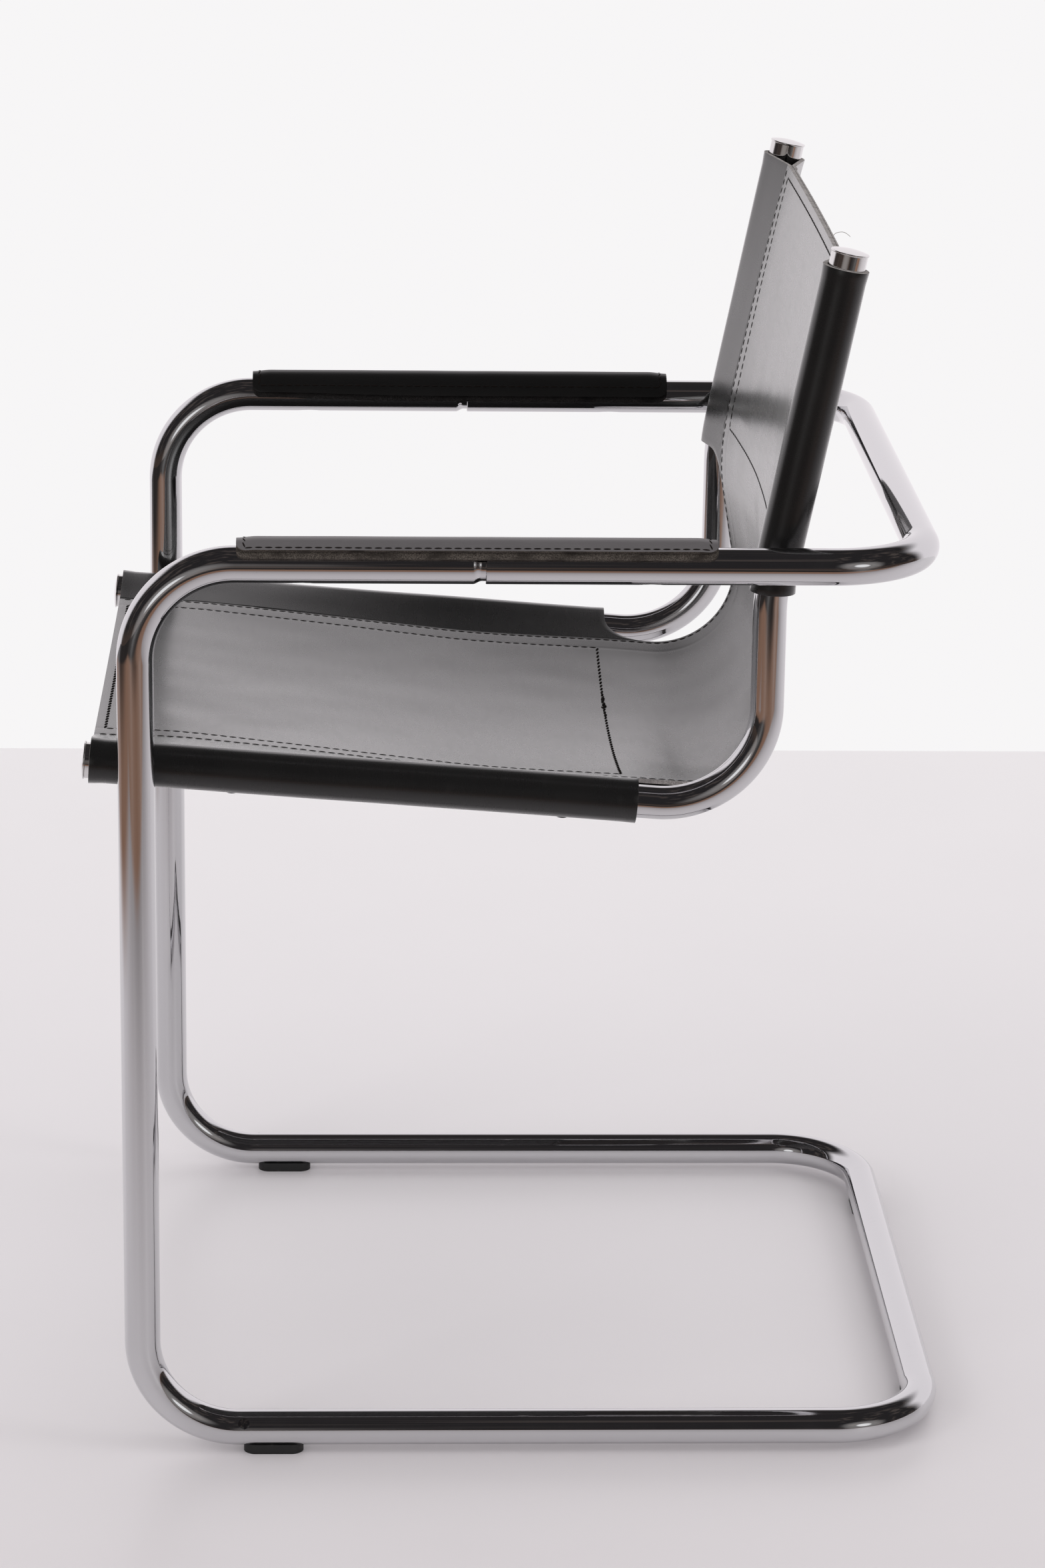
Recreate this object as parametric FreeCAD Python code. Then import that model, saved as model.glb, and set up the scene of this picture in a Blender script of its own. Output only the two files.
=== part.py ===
"""A cantilever lounge chair: bent steel tube, a one-piece leather sling and leather arm pads.

Millimetres. The chair faces -Y, +X is the sitter's left and +Z is up. While it is drawn, y is
measured from the front legs' axis. The pieces are moved to the middle of the footprint when saved.
"""
import FreeCAD, Part

import math
import os

from FreeCAD import Vector

# Frame tube
frame_tube_d = 25.0
frame_tube_wall = 2.0
frame_bend_r = 67.0
frame_half_width = 262.5
arm_axis_z = 644.0
base_depth = 555.5

# Arm joint: the front tube is swaged down to a spigot that enters the rear rail
joint_shoulder_y = 225.0
joint_neck = 9.0
swage_length = 6.0
spigot_length = 40.0
spigot_clearance = 0.1

# Side tubes: seat run, rear bend, upright, slight kink, back run
side_tube_d = 23.0
side_tube_wall = 2.0
side_tube_inset = 37.9
seat_axis_z = 493.65
seat_slope_deg = 4.28
upright_y = 427.8
side_bend_r = 69.0
kink_below_arm = 29.0
kink_r = 120.0
back_lean_deg = 11.07
rail_behind_upright = 104.2

# Sling: one sheet of leather, wrapped round the side tubes and sewn to itself
sling_thickness = 3.2
sleeve_clearance = 0.2
sling_front = 33.0
seat_sleeve_setback = 87.8
back_sleeve_above_kink = 2.0
back_sleeve_top_z = 838.8
panel_rise = 3.5
panel_inset = 42.6
flap_overlap = 11.0
sling_corner_setback = 20.7
sling_bend_r = 58.0
sling_kink_drop = 3.0
sling_kink_r = 120.0
front_edge_sag = 1.0
seat_rear_sag = 16.0
back_low_sag = 11.0
top_edge_sag = 1.0
seat_cutout_r = 30.0
back_cutout_r = 24.0
sheet_steps = 4

# Linings: thinner leather sewn under the seat and behind the back
lining_thickness = 1.6
lining_inset = 14.0
lining_gap = 0.1
seat_lining_margin = 4.0
back_lining_margin = 20.0

# Tube caps: thin cups pressed over the side tubes' ends
cap_wall = 0.9
cap_press_gap = 0.02
cap_skirt_length = 12.0
cap_plate = 1.2
cap_lip = 0.6
cap_crown = 1.6
seat_cap_band = 3.2
back_cap_band = 9.7

# Side tubes' fixing to the frame
spacer_r = 7.0
spacer_bore_clearance = 0.3
bolt_r = 3.0
bolt_hole_clearance = 0.25
bolt_head_r = 5.2
bolt_head_height = 3.0
insert_r = 4.5
insert_length = 13.0
insert_collar_r = 6.0
insert_collar_length = 3.0
insert_clearance = 0.05
thread_engagement = 10.0

# Arm pads: two plies of leather over a steel strip
pad_front_y = 68.0
pad_length = 320.0
pad_ply_thickness = 2.7
pad_flat_half_width = 15.4
pad_corner_r = 7.0
pad_seat_gap = 0.1
strip_thickness = 1.2
strip_half_width = 6.0
strip_end_margin = 14.0
strip_boss_r = 4.0
strip_boss_reach = 5.0
pad_screw_margin = 43.6
pad_screw_r = 2.0
pad_screw_head_r = 4.0
pad_screw_head_height = 2.2
screw_clearance = 0.15
dimple_depth = 1.3
dimple_half_length = 10.0

# Sleeve screws: they pin the leather under the seat tubes
sleeve_screw_front_y = 64.0
sleeve_screw_rear_margin = 50.0
sleeve_screw_r = 1.75
sleeve_screw_head_r = 4.0
sleeve_screw_head_height = 1.1
sleeve_screw_length = 9.0

# Glides: saddles under the runners and the rear crossbar
glide_thickness = 4.5
glide_length = 42.0
glide_half_width = 9.0
glide_corner_r = 8.5
glide_wrap = 2.5
glide_centre_y = 91.5
glide_rear_inset = 84.5
glide_peg_r = 3.0
glide_peg_length = 6.0
glide_peg_rib = 0.5
glide_gap = 0.05

# Plugs that close the access holes above the front glides
plug_y = 70.7
plug_tilt_deg = 34.0
plug_r = 4.0
plug_head_height = 0.5
plug_length = 5.0
plug_gap = 0.05

# Worked-out sizes
frame_r = frame_tube_d / 2
frame_inner_r = frame_r - frame_tube_wall
side_r = side_tube_d / 2
side_inner_r = side_r - side_tube_wall
runner_axis_z = glide_thickness + frame_r
side_half_width = frame_half_width - side_tube_inset
panel_half_width = side_half_width - panel_inset
lining_half_width = panel_half_width - lining_inset
glide_rear_x = frame_half_width - glide_rear_inset
kink_z = arm_axis_z - kink_below_arm
arm_depth = upright_y + rail_behind_upright
seat_sleeve_rear_y = upright_y - seat_sleeve_setback
back_sleeve_low_z = kink_z + back_sleeve_above_kink
sling_corner_y = upright_y + sling_corner_setback
sling_kink_z = kink_z - sling_kink_drop
seat_lining_rear_y = seat_sleeve_rear_y - seat_lining_margin
back_lining_low_z = back_sleeve_low_z + back_lining_margin
sleeve_screw_rear_y = seat_sleeve_rear_y - sleeve_screw_rear_margin
pad_screw_front_y = pad_front_y + pad_screw_margin
pad_screw_rear_y = pad_front_y + pad_length - pad_screw_margin
sleeve_inner_r = side_r + sleeve_clearance
sleeve_outer_r = sleeve_inner_r + sling_thickness
cap_inner_r = side_r + cap_press_gap
cap_skirt_r = cap_inner_r + cap_wall
cap_lip_r = cap_skirt_r + cap_lip
pad_inner_r = frame_r + pad_seat_gap
pad_middle_r = pad_inner_r + pad_ply_thickness
pad_outer_r = pad_middle_r + pad_seat_gap + pad_ply_thickness
dimple_bend_r = (dimple_half_length ** 2 + dimple_depth ** 2) / (2 * dimple_depth)
seat_slope = math.radians(seat_slope_deg)
back_lean = math.radians(back_lean_deg)
seat_along = Vector(0, math.cos(seat_slope), -math.sin(seat_slope))
seat_normal = Vector(0, math.sin(seat_slope), math.cos(seat_slope))
back_along = Vector(0, math.sin(back_lean), math.cos(back_lean))
back_normal = Vector(0, -math.cos(back_lean), math.sin(back_lean))
ACROSS = Vector(1, 0, 0)
ALONG = Vector(0, 1, 0)
UP = Vector(0, 0, 1)
SIDES = {"left": 1, "right": -1}


def seat_point(y):
    """A point on the middle plane where the seat tubes' axis passes y."""
    return Vector(0, y, seat_axis_z - y * math.tan(seat_slope))


def back_point(z):
    """A point on the middle plane where the back tubes' axis, drawn straight, passes z."""
    return Vector(0, upright_y + (z - kink_z) * math.tan(back_lean), z)


def at_side(point, side):
    """The point moved out to one side tube's plane."""
    return Vector(side * side_half_width, point.y, point.z)


seat_front = seat_point(-sling_front)
seat_tube_end = seat_front - seat_along * seat_cap_band
back_top = back_point(back_sleeve_top_z)
back_tube_end = back_top + back_along * back_cap_band
arm_crossing = back_point(arm_axis_z)
leg_crossing = seat_point(0)
front_reach = cap_plate + cap_crown - seat_tube_end.y
rear_reach = base_depth + frame_r
to_origin = Vector(0, (front_reach - rear_reach) / 2, 0)


def rounded_path(corners, radii):
    """A wire of straight runs through the corners, with a tangent arc at each inner corner."""
    edges = []
    start = corners[0]
    for before, corner, after, radius in zip(corners, corners[1:], corners[2:], radii):
        back = (before - corner).normalize()
        ahead = (after - corner).normalize()
        half_turn = (math.pi - back.getAngle(ahead)) / 2
        reach = radius * math.tan(half_turn)
        inward = (back + ahead).normalize()
        arc_start = corner + back * reach
        arc_middle = corner + inward * (radius / math.cos(half_turn) - radius)
        arc_end = corner + ahead * reach
        edges.append(Part.LineSegment(start, arc_start).toShape())
        edges.append(Part.Arc(arc_start, arc_middle, arc_end).toShape())
        start = arc_end
    edges.append(Part.LineSegment(start, corners[-1]).toShape())
    return Part.Wire(edges)


def rod(path, radius):
    """A round bar that follows the path."""
    first = path.Edges[0]
    start = first.valueAt(first.FirstParameter)
    direction = first.tangentAt(first.FirstParameter)
    circle = Part.Wire(Part.makeCircle(radius, start, direction))
    return path.makePipeShell([circle], True, False)


def tube(path, outer_r, inner_r):
    """A hollow round bar that follows the path."""
    return rod(path, outer_r).cut(rod(path, inner_r))


def cylinder(start, direction, radius, length):
    """A cylinder from its start point along a direction."""
    return Part.makeCylinder(radius, length, start, direction)


def turned(outline, start, direction, crown=0):
    """A solid of revolution. Outline points are (distance along the axis, radius).

    With a crown, the outline's last edge, back to the axis, is a dome that much higher.
    """
    points = [Vector(radius, 0, along) for along, radius in outline]
    edges = [Part.LineSegment(here, there).toShape() for here, there in zip(points, points[1:])]
    if crown:
        rim = points[-1]
        apex = Vector(0, 0, rim.z + crown)
        dome_r = (rim.x ** 2 + crown ** 2) / (2 * crown)
        half_way = math.asin(rim.x / dome_r) / 2
        middle = Vector(dome_r * math.sin(half_way), 0, apex.z - dome_r * (1 - math.cos(half_way)))
        edges.append(Part.Arc(rim, middle, apex).toShape())
        points.append(apex)
    edges.append(Part.LineSegment(points[-1], points[0]).toShape())
    solid = Part.Face(Part.Wire(edges)).revolve(Vector(0, 0, 0), UP, 360)
    solid.Placement = FreeCAD.Placement(start, FreeCAD.Rotation(UP, direction))
    return solid


def sagitta(radius, half_chord):
    """How far a circle falls away from its tangent over half a chord."""
    return radius - math.sqrt(radius ** 2 - half_chord ** 2)


def upright_edges(shape):
    """The shape's edges that run straight up."""
    return [edge for edge in shape.Edges if abs(edge.tangentAt(edge.FirstParameter).dot(UP)) > 0.5]


def fused(solids):
    """One clean solid made of touching ones."""
    whole = solids[0].multiFuse(solids[1:])
    return whole.removeSplitter()


def mirrored(shape):
    """The same shape on the chair's other side."""
    return shape.mirror(Vector(0, 0, 0), ACROSS)


def both_sides(shape):
    """A shape and its mirror image, kept as separate solids."""
    return [shape, mirrored(shape)]


def spigot(side):
    """The swaged end of the front tube on one arm, with its bore."""
    outer_r = frame_inner_r - spigot_clearance
    inner_r = outer_r - frame_tube_wall
    end = joint_neck + spigot_length
    outline = [(0, frame_r), (swage_length, outer_r), (end, outer_r), (end, inner_r),
               (swage_length, inner_r), (0, frame_inner_r)]
    start = Vector(side * frame_half_width, joint_shoulder_y, arm_axis_z)
    return turned(outline, start, ALONG)


def dimple(y, side):
    """The pressed flat under an arm where a pad screw's head sits: (metal to cut, metal to add)."""
    top_z = arm_axis_z - frame_r + dimple_depth
    centre = Vector(side * frame_half_width - frame_r, y, top_z - dimple_bend_r)
    hollow = cylinder(centre, ACROSS, dimple_bend_r, frame_tube_d)
    backing = cylinder(centre, ACROSS, dimple_bend_r + frame_tube_wall, frame_tube_d)
    low_half = Part.makeBox(frame_tube_d, frame_tube_d * 2, frame_r,
                            Vector(side * frame_half_width - frame_r, y - frame_tube_d, arm_axis_z - frame_r))
    return hollow, backing.common(low_half)


def pad_fixing_holes(y, side):
    """Holes in an arm tube for one pad screw: the strip's boss above, the screw below."""
    centre = Vector(side * frame_half_width, y, arm_axis_z)
    boss_hole = cylinder(centre, UP, strip_boss_r + screw_clearance, frame_r * 2)
    screw_hole = cylinder(centre, -UP, pad_screw_r + screw_clearance, frame_r * 2)
    return [boss_hole, screw_hole]


def with_dimple(shape, y, side):
    """An arm tube with one dimple pressed in, its wall kept whole behind it."""
    hollow, backing = dimple(y, side)
    run = cylinder(Vector(side * frame_half_width, y - frame_tube_d, arm_axis_z), ALONG,
                   frame_inner_r, frame_tube_d * 2)
    return shape.fuse(backing.common(run)).cut(hollow)


def insert_hole(crossing, side):
    """The hole in the frame tube's inner wall for one threaded insert."""
    start = Vector(side * (frame_half_width - frame_tube_d), crossing.y, crossing.z)
    return cylinder(start, ACROSS * side, insert_r + insert_clearance, frame_tube_d)


def glide_places():
    """Each glide's name, the point of the tube's axis above it, and the tube's direction there."""
    places = []
    for name, side in SIDES.items():
        front = Vector(side * frame_half_width, glide_centre_y, runner_axis_z)
        rear = Vector(side * glide_rear_x, base_depth, runner_axis_z)
        places.append(("glide_front_" + name, front, ALONG))
        places.append(("glide_rear_" + name, rear, ACROSS))
    return places


def peg_hole(centre):
    """The hole under a tube for one glide's peg."""
    return cylinder(centre, -UP, glide_peg_r + glide_gap, frame_tube_d)


def plug_axis(side):
    """Start point and outward direction of one runner plug."""
    tilt = math.radians(plug_tilt_deg)
    outward = Vector(side * math.cos(tilt), 0, math.sin(tilt))
    centre = Vector(side * frame_half_width, plug_y, runner_axis_z)
    return centre, outward


def front_frame_tube():
    """Arms, legs, runners and rear crossbar, bent from one tube."""
    half_course = [
        Vector(frame_half_width, joint_shoulder_y, arm_axis_z),
        Vector(frame_half_width, 0, arm_axis_z),
        Vector(frame_half_width, 0, runner_axis_z),
        Vector(frame_half_width, base_depth, runner_axis_z),
    ]
    other_half = [Vector(-p.x, p.y, p.z) for p in reversed(half_course)]
    path = rounded_path(half_course + other_half, [frame_bend_r] * 6)
    shape = tube(path, frame_r, frame_inner_r)
    for side in SIDES.values():
        shape = shape.fuse(spigot(side))
        shape = with_dimple(shape, pad_screw_front_y, side)
        centre, outward = plug_axis(side)
        cuts = pad_fixing_holes(pad_screw_front_y, side)
        cuts.append(insert_hole(leg_crossing, side))
        cuts.append(cylinder(centre, outward, plug_r + plug_gap, frame_tube_d))
        shape = shape.cut(cuts)
    shape = shape.cut([peg_hole(centre) for name, centre, along in glide_places()])
    return shape.removeSplitter()


def rear_arm_rail():
    """The U-shaped tube that carries the arms round behind the back."""
    half_course = [
        Vector(frame_half_width, joint_shoulder_y + joint_neck, arm_axis_z),
        Vector(frame_half_width, arm_depth, arm_axis_z),
    ]
    other_half = [Vector(-p.x, p.y, p.z) for p in reversed(half_course)]
    path = rounded_path(half_course + other_half, [frame_bend_r] * 2)
    shape = tube(path, frame_r, frame_inner_r)
    for side in SIDES.values():
        shape = with_dimple(shape, pad_screw_rear_y, side)
        cuts = pad_fixing_holes(pad_screw_rear_y, side)
        cuts.append(insert_hole(arm_crossing, side))
        shape = shape.cut(cuts)
    return shape.removeSplitter()


def sleeve_screw_axis(y, side):
    """Where a sleeve screw's shank crosses the seat tube's axis."""
    return at_side(seat_point(y), side)


def side_tube_path(side):
    """The axis of one side tube."""
    corners = [seat_tube_end, seat_point(upright_y), back_point(kink_z), back_tube_end]
    return rounded_path([at_side(p, side) for p in corners], [side_bend_r, kink_r])


def side_tube(side):
    """One L-shaped side tube, with its bolt and screw holes."""
    shape = tube(side_tube_path(side), side_r, side_inner_r)
    cuts = []
    for crossing in (leg_crossing, arm_crossing):
        start = Vector(0, crossing.y, crossing.z)
        cuts.append(cylinder(start, ACROSS * side, bolt_r + bolt_hole_clearance, frame_half_width))
    for y in (sleeve_screw_front_y, sleeve_screw_rear_y):
        cuts.append(cylinder(sleeve_screw_axis(y, side), -seat_normal, sleeve_screw_r, side_tube_d))
    return shape.cut(cuts)


def spacer(crossing, side):
    """A bush between a side tube and the frame, its ends saddled to both tubes."""
    start = Vector(side * side_half_width, crossing.y, crossing.z)
    length = frame_half_width - side_half_width
    blank = cylinder(start, ACROSS * side, spacer_r, length)
    bore = cylinder(start, ACROSS * side, bolt_r + bolt_hole_clearance, length)
    if crossing is leg_crossing:
        frame_run = cylinder(Vector(side * frame_half_width, 0, 0), UP, frame_r, arm_axis_z)
        side_run = cylinder(at_side(seat_point(-sling_front), side), seat_along, side_r, upright_y)
    else:
        frame_run = cylinder(Vector(side * frame_half_width, 0, arm_axis_z), ALONG, frame_r, base_depth)
        side_run = cylinder(at_side(back_point(kink_z), side), back_along, side_r, arm_axis_z)
    return blank.cut([bore, frame_run, side_run])


def bolt(crossing, side):
    """A button-head bolt through a side tube and its spacer into the frame's insert."""
    head_face = side_half_width - side_r
    tip = frame_half_width - frame_r + thread_engagement
    start = Vector(side * (head_face - bolt_head_height), crossing.y, crossing.z)
    reach = tip - head_face + bolt_head_height
    outline = [(0, 0), (0, bolt_r), (bolt_head_height / 2, bolt_head_r),
               (bolt_head_height, bolt_head_r), (bolt_head_height, bolt_r), (reach, bolt_r), (reach, 0)]
    return turned(outline, start, ACROSS * side)


def insert(crossing, side):
    """A threaded insert in the frame tube's inner wall, its collar swelled behind the wall."""
    wall = frame_tube_wall + insert_clearance
    mouth = frame_half_width - frame_r
    start = Vector(side * mouth, crossing.y, crossing.z)
    bore_r = bolt_r + insert_clearance
    mouth_depth = sagitta(frame_r, insert_r)
    collar_start = wall + sagitta(frame_inner_r, insert_collar_r)
    outline = [(mouth_depth, bore_r), (mouth_depth, insert_r), (collar_start, insert_r),
               (collar_start, insert_collar_r), (collar_start + insert_collar_length, insert_r),
               (insert_length, insert_r), (insert_length, bore_r)]
    return turned(outline, start, ACROSS * side)


def cap(tube_end, outward, side):
    """A cup with a lipped, slightly domed top, pressed over a side tube's end."""
    outline = [(0, 0), (0, cap_inner_r), (-cap_skirt_length, cap_inner_r),
               (-cap_skirt_length, cap_skirt_r), (0, cap_skirt_r), (0, cap_lip_r), (cap_plate, cap_lip_r)]
    return turned(outline, at_side(tube_end, side), outward, cap_crown)


def tangent_point(apex, radius, above):
    """Where a line from the apex touches the circle round the origin, above or below it."""
    spread = math.acos(radius / apex.Length) * (1 if above else -1)
    angle = math.atan2(apex.y, apex.x) + spread
    return Vector(radius * math.cos(angle), radius * math.sin(angle), 0)


def sleeve_section():
    """One sleeve seen along its tube: x runs in from the tube's axis, y towards the sitter.

    The sheet leaves the panel, goes round the tube and comes back under the panel as a flap.
    """
    seam = side_half_width - panel_half_width
    panel_top = Vector(seam, panel_rise, 0)
    panel_low = Vector(seam, panel_rise - sling_thickness, 0)
    flap_low = Vector(seam, panel_rise - 2 * sling_thickness, 0)
    flap_end = Vector(seam + flap_overlap, panel_rise - 2 * sling_thickness, 0)
    flap_end_top = Vector(seam + flap_overlap, panel_rise - sling_thickness, 0)
    panel_end = Vector(seam + flap_overlap, panel_rise, 0)
    outside = Vector(-sleeve_outer_r, 0, 0)
    over = tangent_point(panel_top, sleeve_outer_r, True)
    under = tangent_point(flap_low, sleeve_outer_r, False)
    outline = [
        Part.LineSegment(panel_end, panel_top).toShape(),
        Part.LineSegment(panel_top, over).toShape(),
        Part.Arc(over, outside, under).toShape(),
        Part.LineSegment(under, flap_low).toShape(),
        Part.LineSegment(flap_low, flap_end).toShape(),
        Part.LineSegment(flap_end, flap_end_top).toShape(),
        Part.LineSegment(flap_end_top, panel_end).toShape(),
    ]
    bore_over = tangent_point(panel_low, sleeve_inner_r, True)
    bore_under = tangent_point(panel_low, sleeve_inner_r, False)
    bore = [
        Part.LineSegment(panel_low, bore_over).toShape(),
        Part.Arc(bore_over, Vector(-sleeve_inner_r, 0, 0), bore_under).toShape(),
        Part.LineSegment(bore_under, panel_low).toShape(),
    ]
    face = Part.Face(Part.Wire(outline))
    return face.cut(Part.Face(Part.Wire(bore)))


def sleeve(start, along, towards_sitter, length):
    """The left sleeve, drawn along its tube."""
    section = sleeve_section()
    section.Placement = FreeCAD.Placement(start, FreeCAD.Rotation(-ACROSS, towards_sitter, along, "XYZ"))
    return section.extrude(along * length)


def cutout(corner, inward_run, down_run, radius, depth_direction, reach):
    """A prism that trims a sleeve's end: square to the tube, then rounded in to the panel's edge.

    The corner is where the trimmed end would meet the panel's edge if it weren't rounded.
    """
    far = corner - inward_run * reach
    turn_in = corner - inward_run * radius
    turn_down = corner + down_run * radius
    middle = corner + (down_run - inward_run) * (radius * (1 - math.sqrt(0.5)))
    outline = [
        Part.LineSegment(far, turn_in).toShape(),
        Part.Arc(turn_in, middle, turn_down).toShape(),
        Part.LineSegment(turn_down, corner + down_run * reach).toShape(),
        Part.LineSegment(corner + down_run * reach, far + down_run * reach).toShape(),
        Part.LineSegment(far + down_run * reach, far).toShape(),
    ]
    face = Part.Face(Part.Wire(outline))
    face.translate(depth_direction * -reach)
    return face.extrude(depth_direction * (2 * reach))


def sling_corners():
    """The bent line that the panel's sitter side follows, on the middle plane."""
    front = seat_front + seat_normal * panel_rise
    rear = front + seat_along * ((sling_corner_y - front.y) / seat_along.y)
    kink = back_point(sling_kink_z) + back_normal * panel_rise
    top = back_top + back_normal * panel_rise
    return [front, rear, kink, top]


def sheet_section(point, normal, sag, half_width, depth, thickness):
    """A hollowed strip of sheet across the chair, its top a depth under the sitter side.

    A strip narrower than the panel lies deeper at its edges, on the same hollow.
    """
    edge_drop = depth + sag * (1 - (half_width / panel_half_width) ** 2)
    middle_drop = depth + sag

    def place(x, drop):
        return point + ACROSS * x - normal * drop

    left_top = place(half_width, edge_drop)
    left_low = place(half_width, edge_drop + thickness)
    right_top = place(-half_width, edge_drop)
    right_low = place(-half_width, edge_drop + thickness)
    return Part.Wire([
        Part.Arc(right_top, place(0, middle_drop), left_top).toShape(),
        Part.LineSegment(left_top, left_low).toShape(),
        Part.Arc(left_low, place(0, middle_drop + thickness), right_low).toShape(),
        Part.LineSegment(right_low, right_top).toShape(),
    ])


def straight_sheet(start, end, start_sag, end_sag, strip):
    """A straight stretch of sheet whose hollow changes smoothly from one end to the other."""
    normal = ACROSS.cross((end - start).normalize())
    sections = []
    for step in range(sheet_steps + 1):
        share = step / sheet_steps
        if end_sag > start_sag:
            blend = math.sin(share * math.pi / 2)
        else:
            blend = 1 - math.cos(share * math.pi / 2)
        sag = start_sag + (end_sag - start_sag) * blend
        sections.append(sheet_section(start + (end - start) * share, normal, sag, *strip))
    return Part.makeLoft(sections, True, False)


def bent_sheet(edge, sag, strip):
    """A bent stretch of sheet round the arc's centre, its hollow the same all the way."""
    start = edge.valueAt(edge.FirstParameter)
    tangent = edge.tangentAt(edge.FirstParameter)
    chord = edge.valueAt(edge.LastParameter) - start
    turn_axis = tangent.cross(chord).normalize()
    section = Part.Face(sheet_section(start, ACROSS.cross(tangent), sag, *strip))
    turn = math.degrees(edge.Length / edge.Curve.Radius)
    return section.revolve(edge.Curve.Center, turn_axis, turn)


def sling_path():
    """The sitter side of the sling, on the middle plane."""
    return rounded_path(sling_corners(), [sling_bend_r, sling_kink_r])


def run_ends(edge):
    """The two ends of a straight edge."""
    return edge.valueAt(edge.FirstParameter), edge.valueAt(edge.LastParameter)


def sling_panel():
    """The sheet between the two rows of stitches: seat, rear bend and back."""
    seat, bend, lower_back, kink, back = sling_path().Edges
    strip = (panel_half_width, 0, sling_thickness)
    return [
        straight_sheet(*run_ends(seat), front_edge_sag, seat_rear_sag, strip),
        bent_sheet(bend, seat_rear_sag, strip),
        straight_sheet(*run_ends(lower_back), seat_rear_sag, back_low_sag, strip),
        bent_sheet(kink, back_low_sag, strip),
        straight_sheet(*run_ends(back), back_low_sag, top_edge_sag, strip),
    ]


def trimmed_lining(run, start_sag, end_sag, trim_point, keep_along):
    """A lining under one straight run of the panel, kept on one side of the trim point."""
    strip = (lining_half_width, sling_thickness + lining_gap, lining_thickness)
    whole = straight_sheet(*run_ends(run), start_sag, end_sag, strip)
    reach = run.Length
    waste = Part.makeBox(4 * lining_half_width, 2 * reach, 2 * reach,
                         Vector(-2 * lining_half_width, -reach, 0))
    waste.Placement = FreeCAD.Placement(trim_point, FreeCAD.Rotation(UP, -keep_along))
    return whole.cut(waste)


def sling_sleeves():
    """The left seat and back sleeves, trimmed at the rear bend and cut for what passes through."""
    seat_trim = seat_point(seat_sleeve_rear_y)
    back_trim = back_point(back_sleeve_low_z)
    reach = sleeve_outer_r * 4
    seat_length = (seat_trim - seat_front).Length + seat_cutout_r
    back_length = (back_top - back_trim).Length + back_cutout_r
    seat_piece = sleeve(at_side(seat_front, 1), seat_along, seat_normal, seat_length)
    back_start = at_side(back_trim - back_along * back_cutout_r, 1)
    back_piece = sleeve(back_start, back_along, back_normal, back_length)
    edge_x = Vector(panel_half_width, 0, 0)
    seat_cut = cutout(seat_trim + edge_x, -ACROSS, seat_along, seat_cutout_r, seat_normal, reach)
    back_cut = cutout(back_trim + edge_x, -ACROSS, -back_along, back_cutout_r, back_normal, reach)
    return seat_piece.cut(seat_cut), back_piece.cut(back_cut)


def cap_clearance(tube_end, outward, side):
    """Room inside a sleeve's mouth for a cap's skirt."""
    start = at_side(tube_end - outward * (cap_skirt_length + sleeve_clearance), side)
    return cylinder(start, outward, cap_skirt_r + sleeve_clearance / 2, cap_skirt_length * 2)


def sling_leather():
    """The one-piece sling: panel, four sleeves and the holes for spacers and screws."""
    seat_sleeve, back_sleeve = sling_sleeves()
    solids = sling_panel() + both_sides(seat_sleeve) + both_sides(back_sleeve)
    whole = solids[0].multiFuse(solids[1:])
    cuts = []
    for side in SIDES.values():
        cuts.append(rod(side_tube_path(side), side_r + sleeve_clearance / 2))
        cuts.append(cap_clearance(seat_tube_end, -seat_along, side))
        cuts.append(cap_clearance(back_tube_end, back_along, side))
        for crossing in (leg_crossing, arm_crossing):
            start = at_side(Vector(0, crossing.y, crossing.z), side)
            cuts.append(cylinder(start, ACROSS * side, spacer_r + spacer_bore_clearance, frame_tube_d))
        for y in (sleeve_screw_front_y, sleeve_screw_rear_y):
            hole_r = sleeve_screw_r + screw_clearance
            cuts.append(cylinder(sleeve_screw_axis(y, side), -seat_normal, hole_r, side_tube_d))
    return whole.cut(cuts).removeSplitter()


def seat_lining():
    """The thin sheet sewn under the seat, from its front edge to the rear cross seam."""
    run = sling_path().Edges[0]
    return trimmed_lining(run, front_edge_sag, seat_rear_sag, seat_point(seat_lining_rear_y), -seat_along)


def back_lining():
    """The thin sheet sewn behind the back, from above the rear bend to its top edge."""
    run = sling_path().Edges[4]
    return trimmed_lining(run, back_low_sag, top_edge_sag, back_point(back_lining_low_z), back_along)


def draped_ply(inner_r, outer_r, side):
    """One ply of an arm pad, bent over the tube. It keeps its flat width at either face."""
    points = []
    for radius in (outer_r, inner_r):
        half_angle = pad_flat_half_width / radius
        points.append([Vector(radius * math.sin(turn), 0, radius * math.cos(turn))
                       for turn in (-half_angle, 0, half_angle)])
    outer, inner = points
    outline = [
        Part.Arc(*outer).toShape(),
        Part.LineSegment(outer[2], inner[2]).toShape(),
        Part.Arc(inner[2], inner[1], inner[0]).toShape(),
        Part.LineSegment(inner[0], outer[0]).toShape(),
    ]
    ply = Part.Face(Part.Wire(outline)).extrude(ALONG * pad_length)
    half_width = max(point.x for point in outer + inner)
    blank = Part.makeBox(2 * half_width, pad_length, frame_tube_d, Vector(-half_width, 0, 0))
    ply = ply.common(blank.makeFillet(pad_corner_r, upright_edges(blank)))
    ply.translate(Vector(side * frame_half_width, pad_front_y, arm_axis_z))
    return ply


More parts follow.
